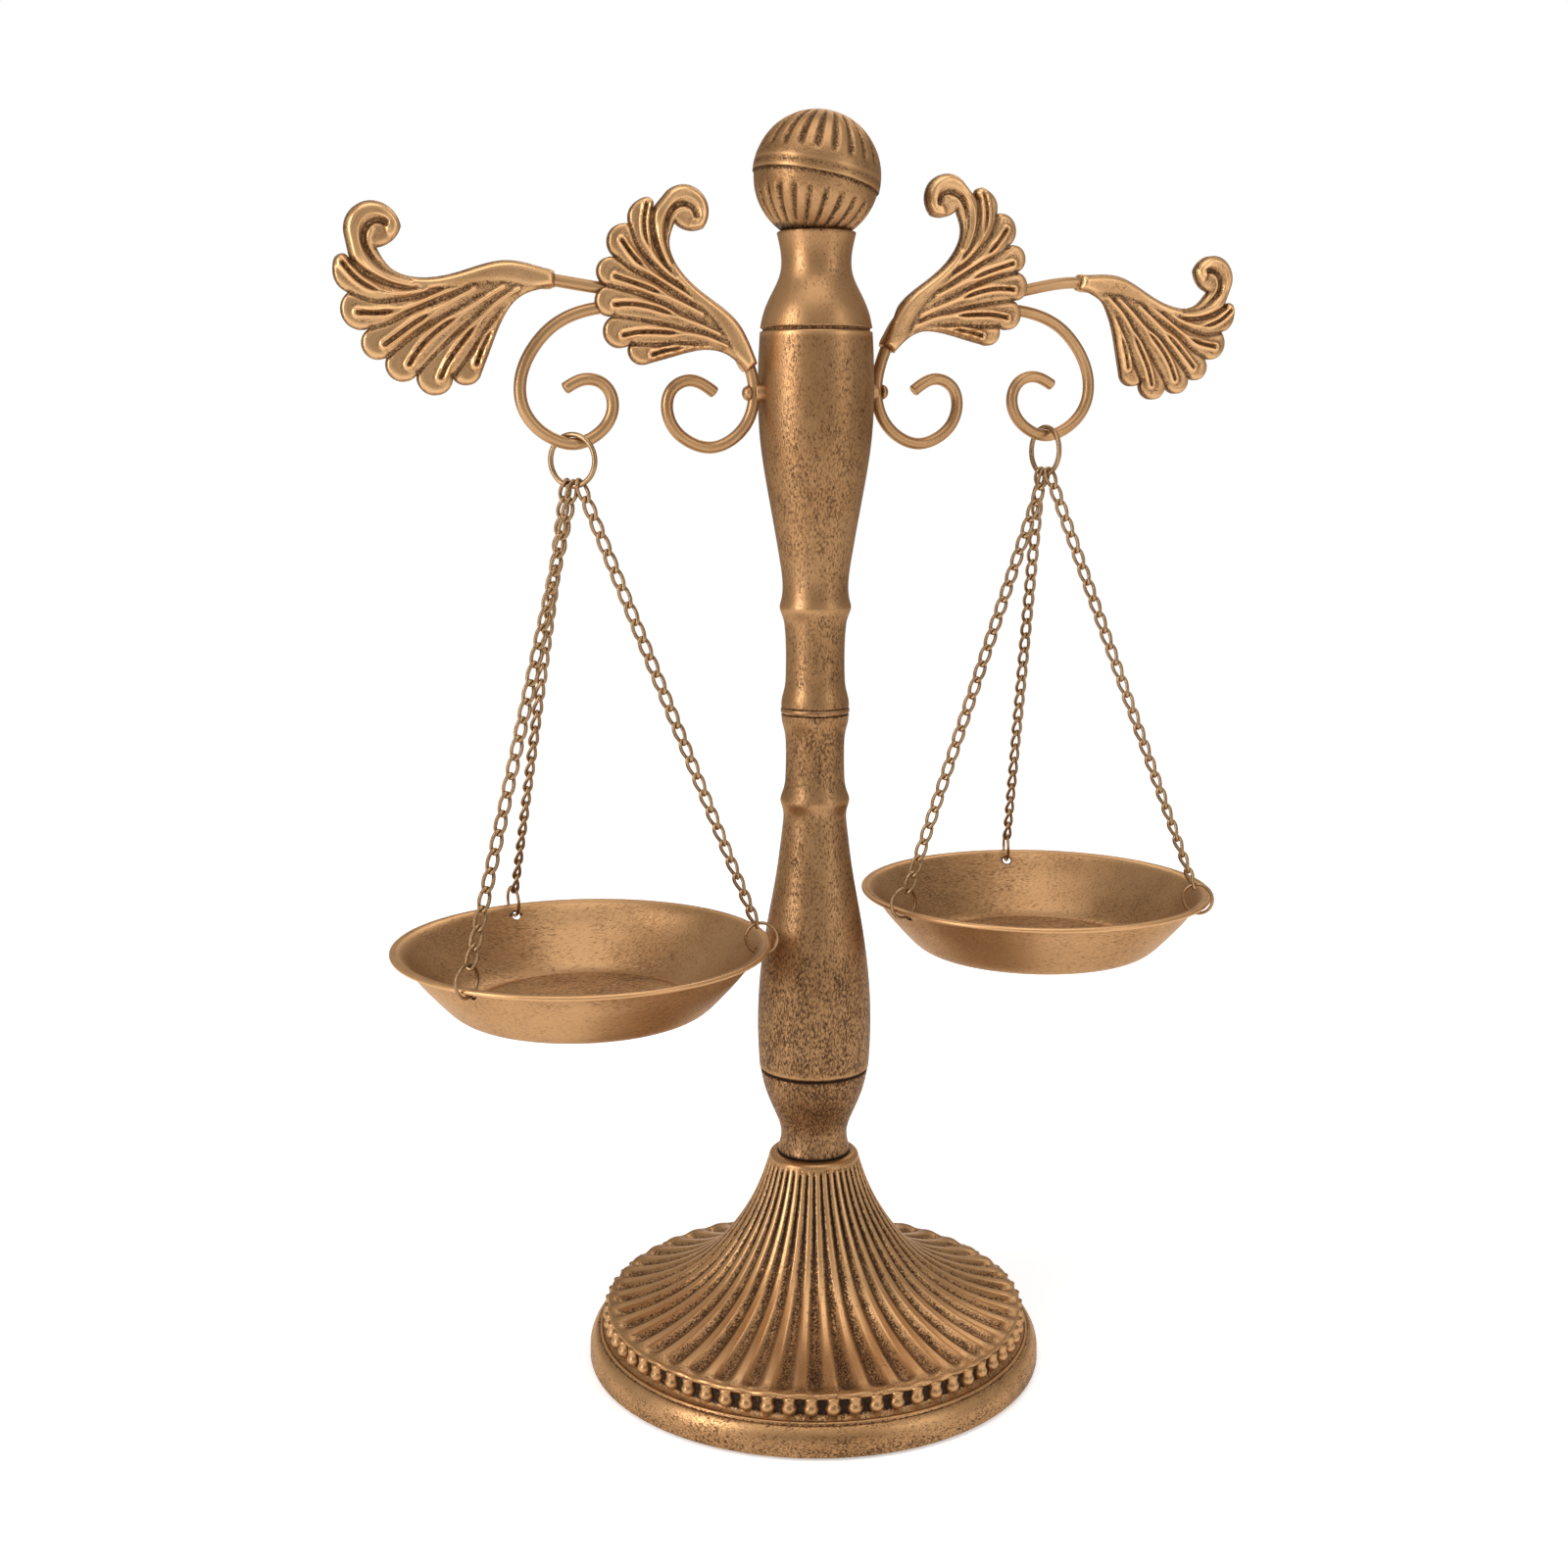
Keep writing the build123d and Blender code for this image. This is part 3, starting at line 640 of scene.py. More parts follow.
# A thin ring shows between the two lips, a hair proud of them.
make_column("column_collar", joined(
    line((BORE_R, 242.75), (11.8, 242.75)),
    arc((11.8, 242.75), (12.3, 243.95), (11.8, 245.15), 10),
    line((11.8, 245.15), (BORE_R, 245.15)),
), coupling_relief, "column_coupling")


# ---- finial: two stamped half shells with flutes, the upper lapped over the lower ----
BALL_Z = 427.0
BALL_R = 22.0
BALL_SHEET = 0.5
BALL_TILT = radians(11.0)
BALL_FLUTES = 22


def ball_point(radius, polar, angle):
    """A point of a sphere about the ball's own axis, which leans with the lap joint."""
    x = radius * np.sin(polar) * np.cos(angle)
    y = radius * np.sin(polar) * np.sin(angle)
    z = radius * np.cos(polar)
    c, s = cos(BALL_TILT), sin(BALL_TILT)
    return np.stack([c * x + s * z, y, BALL_Z - s * x + c * z], axis=-1)


# Outer radius, how far the edge goes past the ball's middle, hole at the pole, and where the flutes run.
# The angles are radians from the shell's own pole.
SHELLS = {
    "upper": (BALL_R, 0.082, 0.0, 0.42, 1.24),
    "lower": (BALL_R - BALL_SHEET, 0.03, 0.17, 0.50, 1.16),
}


def make_shell(half):
    """One half of the ball. Its flutes run between a smooth crown and the plain band at the lap."""
    outer_r, past_middle, pole, start, end = SHELLS[half]
    upper = half == "upper"
    lap = pi / 2 + past_middle
    rows = 70
    columns = BALL_FLUTES * 16
    outer_polar = np.linspace(pole + 0.004, lap, rows)
    edge_polar = np.array([lap + 0.006, lap + 0.006])
    inner_polar = np.linspace(lap, pole + 0.004, 24)
    polar = np.concatenate([outer_polar, edge_polar, inner_polar])
    depth_in = np.concatenate([np.zeros(rows), [0.12, BALL_SHEET - 0.12], np.full(24, BALL_SHEET)])
    polar_grid, angle_grid = np.meshgrid(polar, turns(columns), indexing="ij")
    x = np.abs((angle_grid * BALL_FLUTES / (2 * pi)) % 1.0 - 0.5) * 2.0
    strength = smooth_step(polar_grid, start, start + 0.16) * (1.0 - smooth_step(polar_grid, end, end + 0.13))
    groove = smooth_step(x, 0.36, 0.97)
    crown = bell(polar_grid, 0.30) if upper else np.zeros_like(polar_grid)
    depth = strength * groove * (0.30 + 0.55 * np.sin(polar_grid))
    radius = outer_r - depth_in[:, None] - depth
    points = ball_point(radius, polar_grid if upper else pi - polar_grid, angle_grid).reshape(-1, 3)
    faces = grid_faces(len(polar), columns, True, True)
    if not upper:
        faces = faces[:, ::-1]
    relief = 0.58 + strength * (0.18 - 0.62 * groove) + 0.12 * crown
    if upper:
        relief += 0.30 * (bell(polar_grid - lap + 0.02, 0.03) + bell(polar_grid - lap + 0.17, 0.03))
        relief -= 0.25 * bell(polar_grid - lap + 0.10, 0.03)
    else:
        # The lap hides the first of this shell; a dark line runs under it.
        relief -= 0.5 * bell(polar_grid - (pi / 2 - 0.11), 0.035)
        relief -= 0.5 * smooth_step(-polar_grid, -0.62, -0.5)
    relief[rows:] = 0.15
    name = "finial_" + half
    piece = make_piece(name, points, [faces[:, ::-1]], np.clip(relief.reshape(-1), 0, 1), finial_gold)
    finish_piece(piece, "stand", "cast_gold", name + "_shell")


for half in SHELLS:
    make_shell(half)


# ---- arms ----
WIRE_R = 2.05
SCREW_Z = 355.0
ARM_X = 22.9
WELD_X = 66.0
INNER_STEM = {"left": (24.4, 363.4), "right": (26.6, 369.8)}
OUTER_STEM = {"left": (92.5, 391.8), "right": (102.5, 393.2)}
OUTER_DROOP = {"left": 0.0, "right": 12.0}
INNER_TURN = 52.0
INNER_SIZE = 0.94
OUTER_SIZE = {"left": 1.0, "right": 0.94}
SOCKET_TILT = 8.0
ARM_TILT = {"left": -0.9, "right": 0.9}      # each arm is turned up by this about the column


def on_side(points, faces, side):
    """A right-hand arm part, tilted about the column and mirrored for the left."""
    c, s = cos(radians(ARM_TILT[side])), sin(radians(ARM_TILT[side]))
    x, z = points[:, 0], points[:, 2] - SCREW_Z
    points = np.stack([c * x - s * z, points[:, 1], SCREW_Z + s * x + c * z], axis=1)
    return mirrored(points, faces, side)


def turned(point, angle):
    c, s = cos(radians(angle)), sin(radians(angle))
    return (c * point[0] - s * point[1], s * point[0] + c * point[1])


def arm_route(side):
    stem_x, stem_z = OUTER_STEM[side]
    lead = turned((5.5, 0.0), SOCKET_TILT - OUTER_DROOP[side])
    inner_x, inner_z = INNER_STEM[side]
    inner_lead = turned((5.5, 0.0), SOCKET_TILT + INNER_TURN)
    return [(37.1, 355.2), (46.2, 359.4), (52.6, 356.2), (54.3, 350.0), (51.8, 343.2), (46.2, 338.7),
            (39.2, 336.9), (30.8, 339.8), (24.9, 346.5), (ARM_X, SCREW_Z), (inner_x, inner_z),
            (inner_x + inner_lead[0], inner_z + inner_lead[1]),
            (36.5, 379.4), (47.0, 384.4), (61.0, 387.6), (76.0, 389.4), (stem_x, stem_z),
            (stem_x + lead[0], stem_z + lead[1])]


HANG_X = {"left": 87.4, "right": 90.5}
HOOK_LOW_Z = 338.9


def hook_route(side):
    # x is measured from the point where the pan hangs.
    route = [(-28.5, 380.6), (-19.5, 383.2), (-9.5, 382.9), (4.3, 377.9), (12.1, 370.4), (17.1, 359.0),
             (16.3, 350.6), (11.9, 344.2), (6.5, 340.6), (0.0, HOOK_LOW_Z), (-7.5, 341.3),
             (-12.9, 346.8), (-14.1, 353.0), (-11.3, 358.2), (-5.1, 360.0), (2.2, 356.9)]
    return [(HANG_X[side] + x, z) for x, z in route]


def flat_path(route, count):
    p = spline(route, count)
    return np.stack([p[:, 0], np.zeros(len(p)), p[:, 1]], axis=1)


def make_wire(name, route, count, side, replaced):
    around = 28
    points, faces = tube(flat_path(route, count), WIRE_R, around)
    relief = np.full(len(points), 0.62)
    relief[:around] = 0.85
    points, faces = on_side(points, faces, side)
    piece = make_piece(name, points, faces, relief, wire_gold, sharp=38)
    finish_piece(piece, "stand", "wire_gold", replaced)


def make_weld(side):
    """The bead of filler where the hook scroll is joined to the arm wire and the back of the inner leaf."""
    rows, columns = 16, 28
    polar = np.linspace(0.02, pi - 0.02, rows)
    polar_grid, angle_grid = np.meshgrid(polar, turns(columns), indexing="ij")
    lump = (1.0 + 0.07 * np.sin(3 * angle_grid + 2 * polar_grid)
            + 0.05 * np.sin(5 * polar_grid - 2 * angle_grid))
    x = WELD_X + 6.4 * lump * np.cos(polar_grid)
    y = 2.35 * lump * np.sin(polar_grid) * np.cos(angle_grid)
    z = 384.7 + 2.6 * lump * np.sin(polar_grid) * np.sin(angle_grid) + 0.12 * (x - WELD_X)
    points, faces = on_side(point_list(x, y, z), capped_faces(rows, columns), side)
    piece = make_piece(side + "_weld", points, faces, 0.5, wire_gold)
    finish_piece(piece, "stand", "wire_gold")


def make_boss(side):
    """A short round post between the column and the arm wire, and the screw through both."""
    post = joined(line((0.02, 17.6), (3.2, 17.6), 3), line((3.2, 17.6), (3.2, 22.2), 5),
                  arc((3.2, 22.2), (3.0, 22.8), (2.4, 23.0), 4), line((2.4, 23.0), (0.02, 23.0), 2))
    head = joined(line((0.02, 24.6), (2.3, 24.6), 2), arc((2.3, 24.6), (2.65, 25.0), (2.55, 25.5), 4),
                  arc((2.55, 25.5), (1.8, 26.6), (0.02, 27.0), 8))
    columns = 32
    turn = turns(columns)
    for name, outline in (("boss", post), ("screw", head)):
        x = np.repeat(outline[:, 1:], columns, axis=1)
        y = outline[:, :1] * np.cos(turn)
        z = SCREW_Z + outline[:, :1] * np.sin(turn)
        if name == "screw":
            inside_slot = (np.abs(y) < 0.42) & (x > 25.6)
            x = np.where(inside_slot, x - 0.75, x)
        points, faces = on_side(point_list(x, y, z), capped_faces(len(outline), columns), side)
        piece = make_piece(side + "_" + name, points, faces, 0.55, wire_gold, sharp=40)
        finish_piece(piece, "stand", "wire_gold", side + "_arm_" + name)


# ---- leaves ----
LEAF_BACK = 2.5          # the plate's back face lies this far in front of the wires' centre plane
LEAF_SKIRT = 2.1         # its rolled edge reaches back by this much more
SPINE = [(0.0, 0.0), (8.0, 1.6), (16.0, 2.6), (28.0, 0.9), (41.0, -1.5), (50.0, -0.6), (57.5, 2.5),
         (62.4, 6.5), (64.6, 11.6), (63.5, 17.2), (59.2, 20.6), (53.8, 19.9), (51.0, 16.8), (51.3, 14.2)]
SPINE_WIDTH = [3.2, 3.6, 3.4, 2.4, 1.7, 1.7, 1.8, 1.9, 1.9, 1.8, 1.6, 1.5, 1.7, 2.4]
VOLUTE_RIDGE = [(46.0, -3.4), (52.5, -1.4), (59.2, 2.6), (62.2, 7.6), (62.6, 12.4), (61.4, 16.6),
                (58.4, 18.7), (55.0, 18.6), (53.0, 17.0), (53.4, 15.0)]
VOLUTE_GROOVE = [(54.0, 16.5), (56.6, 17.0), (59.7, 15.4), (61.0, 11.6), (60.0, 7.8), (56.8, 3.6),
                 (52.0, 0.8), (47.0, -0.8)]
VOLUTE_INNER = [(58.2, 14.4), (59.4, 11.4), (58.4, 8.2), (55.2, 4.4), (51.0, 2.0)]
LOBES = [
    [(68.2, 4.4), (64.8, 0.2), (60.0, -3.2), (54.5, -4.9), (48.0, -4.9), (42.0, -3.7)],
    [(64.0, -11.0), (58.0, -11.2), (52.0, -10.4), (46.0, -8.5), (38.0, -5.1), (29.0, -1.9)],
    [(56.0, -20.8), (51.2, -17.4), (45.5, -13.6), (39.5, -10.2), (33.0, -6.7), (26.5, -3.4)],
    [(48.7, -27.0), (45.4, -22.3), (41.0, -17.9), (36.0, -14.2), (30.5, -10.8), (24.0, -6.6), (17.0, -2.7)],
    [(38.8, -31.2), (36.4, -26.6), (33.2, -22.2), (29.5, -17.8), (25.0, -12.8), (19.0, -7.2), (12.0, -3.2)],
    [(27.0, -27.0), (25.0, -22.2), (22.2, -17.2), (18.6, -12.0), (14.6, -7.8), (10.0, -4.6)],
]
LOOP_LENGTH = [17.0, 14.5, 20.0, 24.0, 23.0, 15.0]     # how far each pair of ribs stays apart
VALLEYS = [
    [(65.0, 4.6), (61.6, 1.4), (57.0, -1.2), (51.5, -2.8), (45.5, -3.1)],
    [(65.9, -5.0), (59.0, -7.4), (52.0, -7.2), (45.5, -6.2), (38.0, -3.4)],
    [(60.0, -15.8), (54.4, -14.3), (48.6, -11.3), (43.0, -8.8), (36.0, -6.2), (29.0, -3.2)],
    [(54.8, -24.4), (50.0, -20.6), (43.8, -16.0), (38.2, -12.6), (31.0, -8.7), (24.0, -4.8)],
    [(45.7, -29.5), (40.0, -23.9), (34.2, -18.3), (28.8, -13.6), (22.0, -8.0), (15.0, -3.6)],
    [(34.3, -30.6), (29.6, -24.8), (25.9, -20.0), (22.2, -14.6), (17.0, -9.0), (11.5, -4.6)],
]


def leaf_outline():
    notches = [(65.2, 4.9), (66.4, -4.8), (60.4, -15.9), (55.2, -24.7), (45.9, -29.8), (34.6, -31.0),
               (25.3, -29.9)]
    tips = [(68.9, -10.9), (62.6, -22.4), (51.8, -32.2), (40.9, -36.7), (29.9, -33.6)]
    runs = [
        spline([(0.0, 2.6), (6.0, 4.3), (15.8, 5.8), (28.1, 3.0), (41.2, 0.1), (53.0, 3.0), (57.0, 9.0)],
               150),
        arc((57.0, 9.0), (51.7, 11.3), (49.0, 15.6), 24),
        arc((49.0, 15.6), (57.2, 23.2), (66.7, 13.5), 60),
        line((66.7, 13.5), notches[0], 20),
        spline([notches[0], (67.2, 7.0), (69.4, 6.4), (70.6, 3.5), (70.5, 0.0), (69.1, -2.8), notches[1]],
               34),
    ]
    for start, tip, end in zip(notches[1:], tips, notches[2:]):
        runs.append(arc(start, tip, end, 34))
    runs.append(spline([notches[-1], (21.9, -22.1), (17.9, -13.3), (12.3, -6.2), (5.2, -3.3), (0.0, -2.6)],
                       90))
    runs.append(line((0.0, -2.6), (0.0, 2.6), 12))
    return joined(*runs)[:-1]


def distance_to_path(points, path, values=None):
    """Nearest distance from each point to a polyline, with the values there and the length along it."""
    best = np.full(len(points), 1e9)
    value = np.zeros(len(points))
    along_path = np.zeros(len(points))
    lengths = np.linalg.norm(np.diff(path, axis=0), axis=1)
    reached = np.concatenate([[0.0], np.cumsum(lengths)])
    for i in range(len(path) - 1):
        a, step = path[i], path[i + 1] - path[i]
        t = np.clip(((points - a) @ step) / max(step @ step, 1e-12), 0.0, 1.0)
        d = np.linalg.norm(points - (a + t[:, None] * step), axis=1)
        closer = d < best
        best = np.where(closer, d, best)
        along_path = np.where(closer, reached[i] + t * lengths[i], along_path)
        if values is not None:
            value = np.where(closer, values[i] + t * (values[i + 1] - values[i]), value)
    return best, value, along_path


def inside_outline(points, outline):
    x, y = points[:, 0], points[:, 1]
    inside = np.zeros(len(points), bool)
    for (ax, ay), (bx, by) in zip(outline, np.roll(outline, -1, axis=0)):
        crosses = (ay > y) != (by > y)
        at = ax + (y - ay) / (by - ay if by != ay else 1e-12) * (bx - ax)
        inside ^= crosses & (x < at)
    return inside


def leaf_height(points, edge_distance):
    """How far the front of the stamping stands in front of its back plane."""
    near_edge = np.clip(edge_distance / 2.8, 0.0, 1.0)
    pillow = np.sqrt(1.0 - (1.0 - near_edge) ** 2)
    inside = smooth_step(edge_distance, 0.15, 1.5)
    height = 0.40 + 1.35 * pillow
    spine = spline([(*p, w) for p, w in zip(SPINE, SPINE_WIDTH)], 120)
    d, width, _ = distance_to_path(points, spine[:, :2], spine[:, 2])
    band = np.sqrt(np.clip(1.0 - (d / (width + 0.35)) ** 2, 0.0, 1.0))
    height += 0.95 * band * inside
    for path, count, amount, width in (
            (VOLUTE_RIDGE, 70, 0.40, 0.65), (VOLUTE_GROOVE, 70, -1.05, 0.85), (VOLUTE_INNER, 40, 0.30, 0.6)):
        d, _, _ = distance_to_path(points, spline(path, count))
        height += amount * bell(d, width) * inside
    for lobe, loop in zip(LOBES, LOOP_LENGTH):
        d, _, s = distance_to_path(points, spline(lobe, 60))
        apart = 1.0 - smooth_step(s, loop - 7.0, loop + 1.0)
        fade = 1.0 - smooth_step(s, loop + 14.0, loop + 26.0)
        ridge = bell(d - 1.20 * apart, 0.62)
        height += (0.85 * ridge * fade - 0.55 * apart * bell(d, 0.55)) * inside
    for valley in VALLEYS:
        d, _, s = distance_to_path(points, spline(valley, 60))
        depth = 1.0 - 0.6 * smooth_step(s, 14.0, 34.0)
        height -= 0.85 * depth * bell(d, 0.75) * smooth_step(edge_distance, 0.0, 0.8)
    return np.maximum(height, 0.35)


def leaf_mesh():
    """Front and back of one stamped leaf, in its own plane: stem at the origin, +X outwards, +Z up."""
    outline = leaf_outline()
    step = 0.42
    columns = np.arange(-0.5, 72.5, step)
    rows = np.arange(-38.0, 24.5, step * 0.866)
    grid = np.array([(x + (step / 2 if k % 2 else 0.0), z) for k, z in enumerate(rows) for x in columns])
    closed = np.concatenate([outline, outline[:1]])
    grid = grid[inside_outline(grid, outline)]
    d, _, _ = distance_to_path(grid, closed)
    grid = grid[d > 0.32]
    count = len(outline)
    found = delaunay_2d_cdt([Vector(p) for p in np.concatenate([outline, grid])],
                            [(i, (i + 1) % count) for i in range(count)], [list(range(count))], 1, 1e-5)
    flat = np.array([tuple(v) for v in found[0]])
    triangles = np.array(found[2], int)
    a, b, c = flat[triangles[:, 0]], flat[triangles[:, 1]], flat[triangles[:, 2]]
    area = (b[:, 0] - a[:, 0]) * (c[:, 1] - a[:, 1]) - (b[:, 1] - a[:, 1]) * (c[:, 0] - a[:, 0])
    triangles = np.where(area[:, None] < 0, triangles[:, ::-1], triangles)
    # Border edges are used by one triangle only.
    edges = np.concatenate([triangles[:, [0, 1]], triangles[:, [1, 2]], triangles[:, [2, 0]]])
    keys = dict.fromkeys(map(tuple, edges.tolist()))
    border = np.array([(u, v) for u, v in keys if (v, u) not in keys])
    edge_distance, _, _ = distance_to_path(flat, closed)
    height = leaf_height(flat, edge_distance)
    # The mean height around a point, from the same formula, tells hollows from raised parts.
    around = np.zeros(len(flat))
    for k in range(8):
        shift = np.array([cos(k * pi / 4), sin(k * pi / 4)]) * 1.7
        moved = flat + shift
        near, _, _ = distance_to_path(moved, closed)
        near = np.where(inside_outline(moved, outline), near, 0.0)
        around += leaf_height(moved, near) / 8.0
    # Hollows go dark and raised parts light: patina and rubbed gold, partly painted shade and painted
    # highlight.
    relief = np.clip(0.52 + (height - around) * 0.95, 0.18, 1.0)
    n = len(flat)
    front = np.stack([flat[:, 0], -LEAF_BACK - height, flat[:, 1]], axis=1)
    skirt = LEAF_SKIRT * (1.0 - smooth_step(edge_distance, 0.0, 1.4)) * smooth_step(flat[:, 0], 9.0, 16.0)
    # The stamping is hollow: the back follows the front at the thickness of the sheet.
    hollow = smooth_step(edge_distance, 1.0, 3.0) * np.maximum(height - 0.75, 0.0)
    back = np.stack([flat[:, 0], -LEAF_BACK + skirt - hollow, flat[:, 1]], axis=1)
    points = np.concatenate([front, back])
    # The walls have their own front row, so that the gold ends sharply at the edge; from there the walls go
    # near black: a dark underside, partly painted shade.
    lip = front.copy()
    lip[:, 1] += 0.25
    # Looking from -Y, +X is to the right and +Z up, so counter-clockwise triangles face the front.
    front_strip = np.stack([border[:, 1], border[:, 0], border[:, 0] + 2 * n, border[:, 1] + 2 * n], axis=1)
    walls = np.stack([border[:, 1] + 2 * n, border[:, 0] + 2 * n, border[:, 0] + n, border[:, 1] + n], axis=1)
    used = np.zeros(3 * n, bool)
    used[:2 * n] = True
    used[np.unique(border) + 2 * n] = True
    new_index = np.cumsum(used) - 1
    points = np.concatenate([points, lip])[used]
    back_relief = np.clip(0.24 + (around - height) * 0.4, 0.12, 0.6)
    relief = np.concatenate([relief, back_relief, np.zeros(n)])[used]
    faces = [new_index[f] for f in (triangles, triangles[:, ::-1] + n, front_strip, walls)]
    return points, faces, relief


leaf_shape = leaf_mesh()


def make_leaf(side, which, stem, angle, size):
    name = side + "_" + which + "_leaf"
    c, s = cos(radians(angle)), sin(radians(angle))

    def add_piece(ending, points, faces, relief, replaced, sharp=None):
        x, y, z = (points * size).T
        placed = np.stack([stem[0] + c * x - s * z, y, stem[1] + s * x + c * z], axis=1)
        placed, faces = on_side(placed, faces, side)
        piece = make_piece(name + ending, placed, faces, relief, leaf_gold, sharp)
        finish_piece(piece, "stand", "leaf_gold", *replaced)

    add_piece("_blade", *leaf_shape, [name], sharp=62)
    # The rolled stem wraps the wire and runs out into the blade's spine.
    path = spline([(-0.4, 0.0, 0.0), (3.5, 0.0, 0.5), (8.0, -0.9, 1.2), (13.0, -2.3, 1.9),
                   (19.0, -3.0, 2.3)], 40)
    radius = spline([(0.0, 2.75), (1.0, 3.15), (4.0, 3.35), (9.0, 3.5), (14.0, 2.9), (19.4, 1.3)], 40)[:, 1]
    add_piece("_stem", *tube(path, radius, 36, chamfer=0.5 / size), 0.66, [])


for side in SIDES:
    make_wire(side + "_arm", arm_route(side), 420, side, side + "_arm_wire")
    make_wire(side + "_scroll", hook_route(side), 260, side, side + "_hook_scroll")
    make_weld(side)
    make_boss(side)
    make_leaf(side, "inner", INNER_STEM[side], INNER_TURN, INNER_SIZE)
    make_leaf(side, "outer", OUTER_STEM[side], -OUTER_DROOP[side], OUTER_SIZE[side])


# ---- hook rings, chains, pans ----
HOOK_RING_R = 8.5
HOOK_RING_WIRE_R = 0.9
HINGE_GAP = 0.15
TOP_LINK_GAP = 0.25
HOOK_RING_YAW = {"left": 134.4, "right": 97.5}
LINK_WIRE_R = 0.65
LINK_SLACK = 0.10
LINK_WIDTH = 4.5
LINK_COUNT = 26
CHAIN_SPREAD = 19.0
PAN_RING_PLACE = (62.6, 1.6)
PAN_RING_R = 5.45
PAN_RING_WIRE_R = 0.6
PAN_HOLE_PLACE = (60.2, -3.4)
PAN_HOLE_R = 1.7
PAN_HOLE_ANGLES = {"left": (-21.0, 99.0, 219.0), "right": (-47.5, 72.5, 192.5)}
PAN_DEPTH = 21.9
PAN_SHEET = 0.9
PAN_FLOOR_R = 35.8


UP = np.array([0.0, 0.0, 1.0])


def unit(v):
    return v / np.linalg.norm(v)


def direction(angle):
    return np.array([cos(radians(angle)), sin(radians(angle)), 0.0])


def upright_ring(centre, angle, radius, count):
    """The centre line of a ring that stands upright, its plane along the angle."""
    turn = turns(count)[:, None]
    return centre + radius * (np.cos(turn) * direction(angle) + np.sin(turn) * UP)


def hanging_point(side, z):
    return np.array([SIDES[side] * HANG_X[side], 0.0, z])


def hook_ring_centre(side):
    low = HOOK_LOW_Z + HANG_X[side] * sin(radians(ARM_TILT[side]))
    z = low + WIRE_R + HINGE_GAP - (HOOK_RING_R - HOOK_RING_WIRE_R)
    return hanging_point(side, z)


def top_of_chain(side, place):
    angle = radians(place * CHAIN_SPREAD)
    lead = direction(HOOK_RING_YAW[side]) * (HOOK_RING_R * sin(angle))
    return hook_ring_centre(side) + lead - HOOK_RING_R * cos(angle) * UP


def chain_places(side):
    leads = [cos(radians(angle - HOOK_RING_YAW[side])) for angle in PAN_HOLE_ANGLES[side]]
    order = sorted(range(3), key=lambda i: leads[i])
    return {index: place for place, index in zip((-1, 0, 1), order)}


def pan_lip(side):
    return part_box(side + "_pan")[1].z / MM


def pan_ring_centre(side, angle):
    foot = hanging_point(side, pan_lip(side) + PAN_RING_PLACE[1])
    return foot + direction(angle) * PAN_RING_PLACE[0]


def make_hook_ring(side):
    path = upright_ring(hook_ring_centre(side), HOOK_RING_YAW[side], HOOK_RING_R, 96)
    points, faces = tube(path, HOOK_RING_WIRE_R, 18, closed=True)
    piece = make_piece(side + "_ring", points, faces, 0.62, chain_gold)
    finish_piece(piece, side + "_ring", "chain_gold", side + "_hook_ring")


def make_pan_rings(side):
    points, faces, start = [], [], 0
    for angle in PAN_HOLE_ANGLES[side]:
        path = upright_ring(pan_ring_centre(side, angle), angle, PAN_RING_R, 72)
        ring, quads = tube(path, PAN_RING_WIRE_R, 14, closed=True)
        points.append(ring)
        faces.append(quads[0] + start)
        start += len(ring)
    piece = make_piece(side + "_rim_rings", np.concatenate(points), faces, 0.62, chain_gold)
    finish_piece(piece, side + "_pan_set", "chain_gold", side + "_pan_rings")


def link_loop(count, inner_length, twist):
    """The centre line of a rounded oval link, its long axis along Z, its ends turned apart by the twist."""
    half = inner_length / 2 + LINK_WIRE_R
    wide = LINK_WIDTH / 2 - LINK_WIRE_R
    points = []
    for k in range(count):
        t = 2 * pi * k / count
        x = wide * copysign(abs(cos(t)) ** 0.8, cos(t))
        z = half * copysign(abs(sin(t)) ** 0.9, sin(t))
        turn = twist * z / half / 2
        points.append((x * cos(turn), x * sin(turn), z))
    return np.array(points)


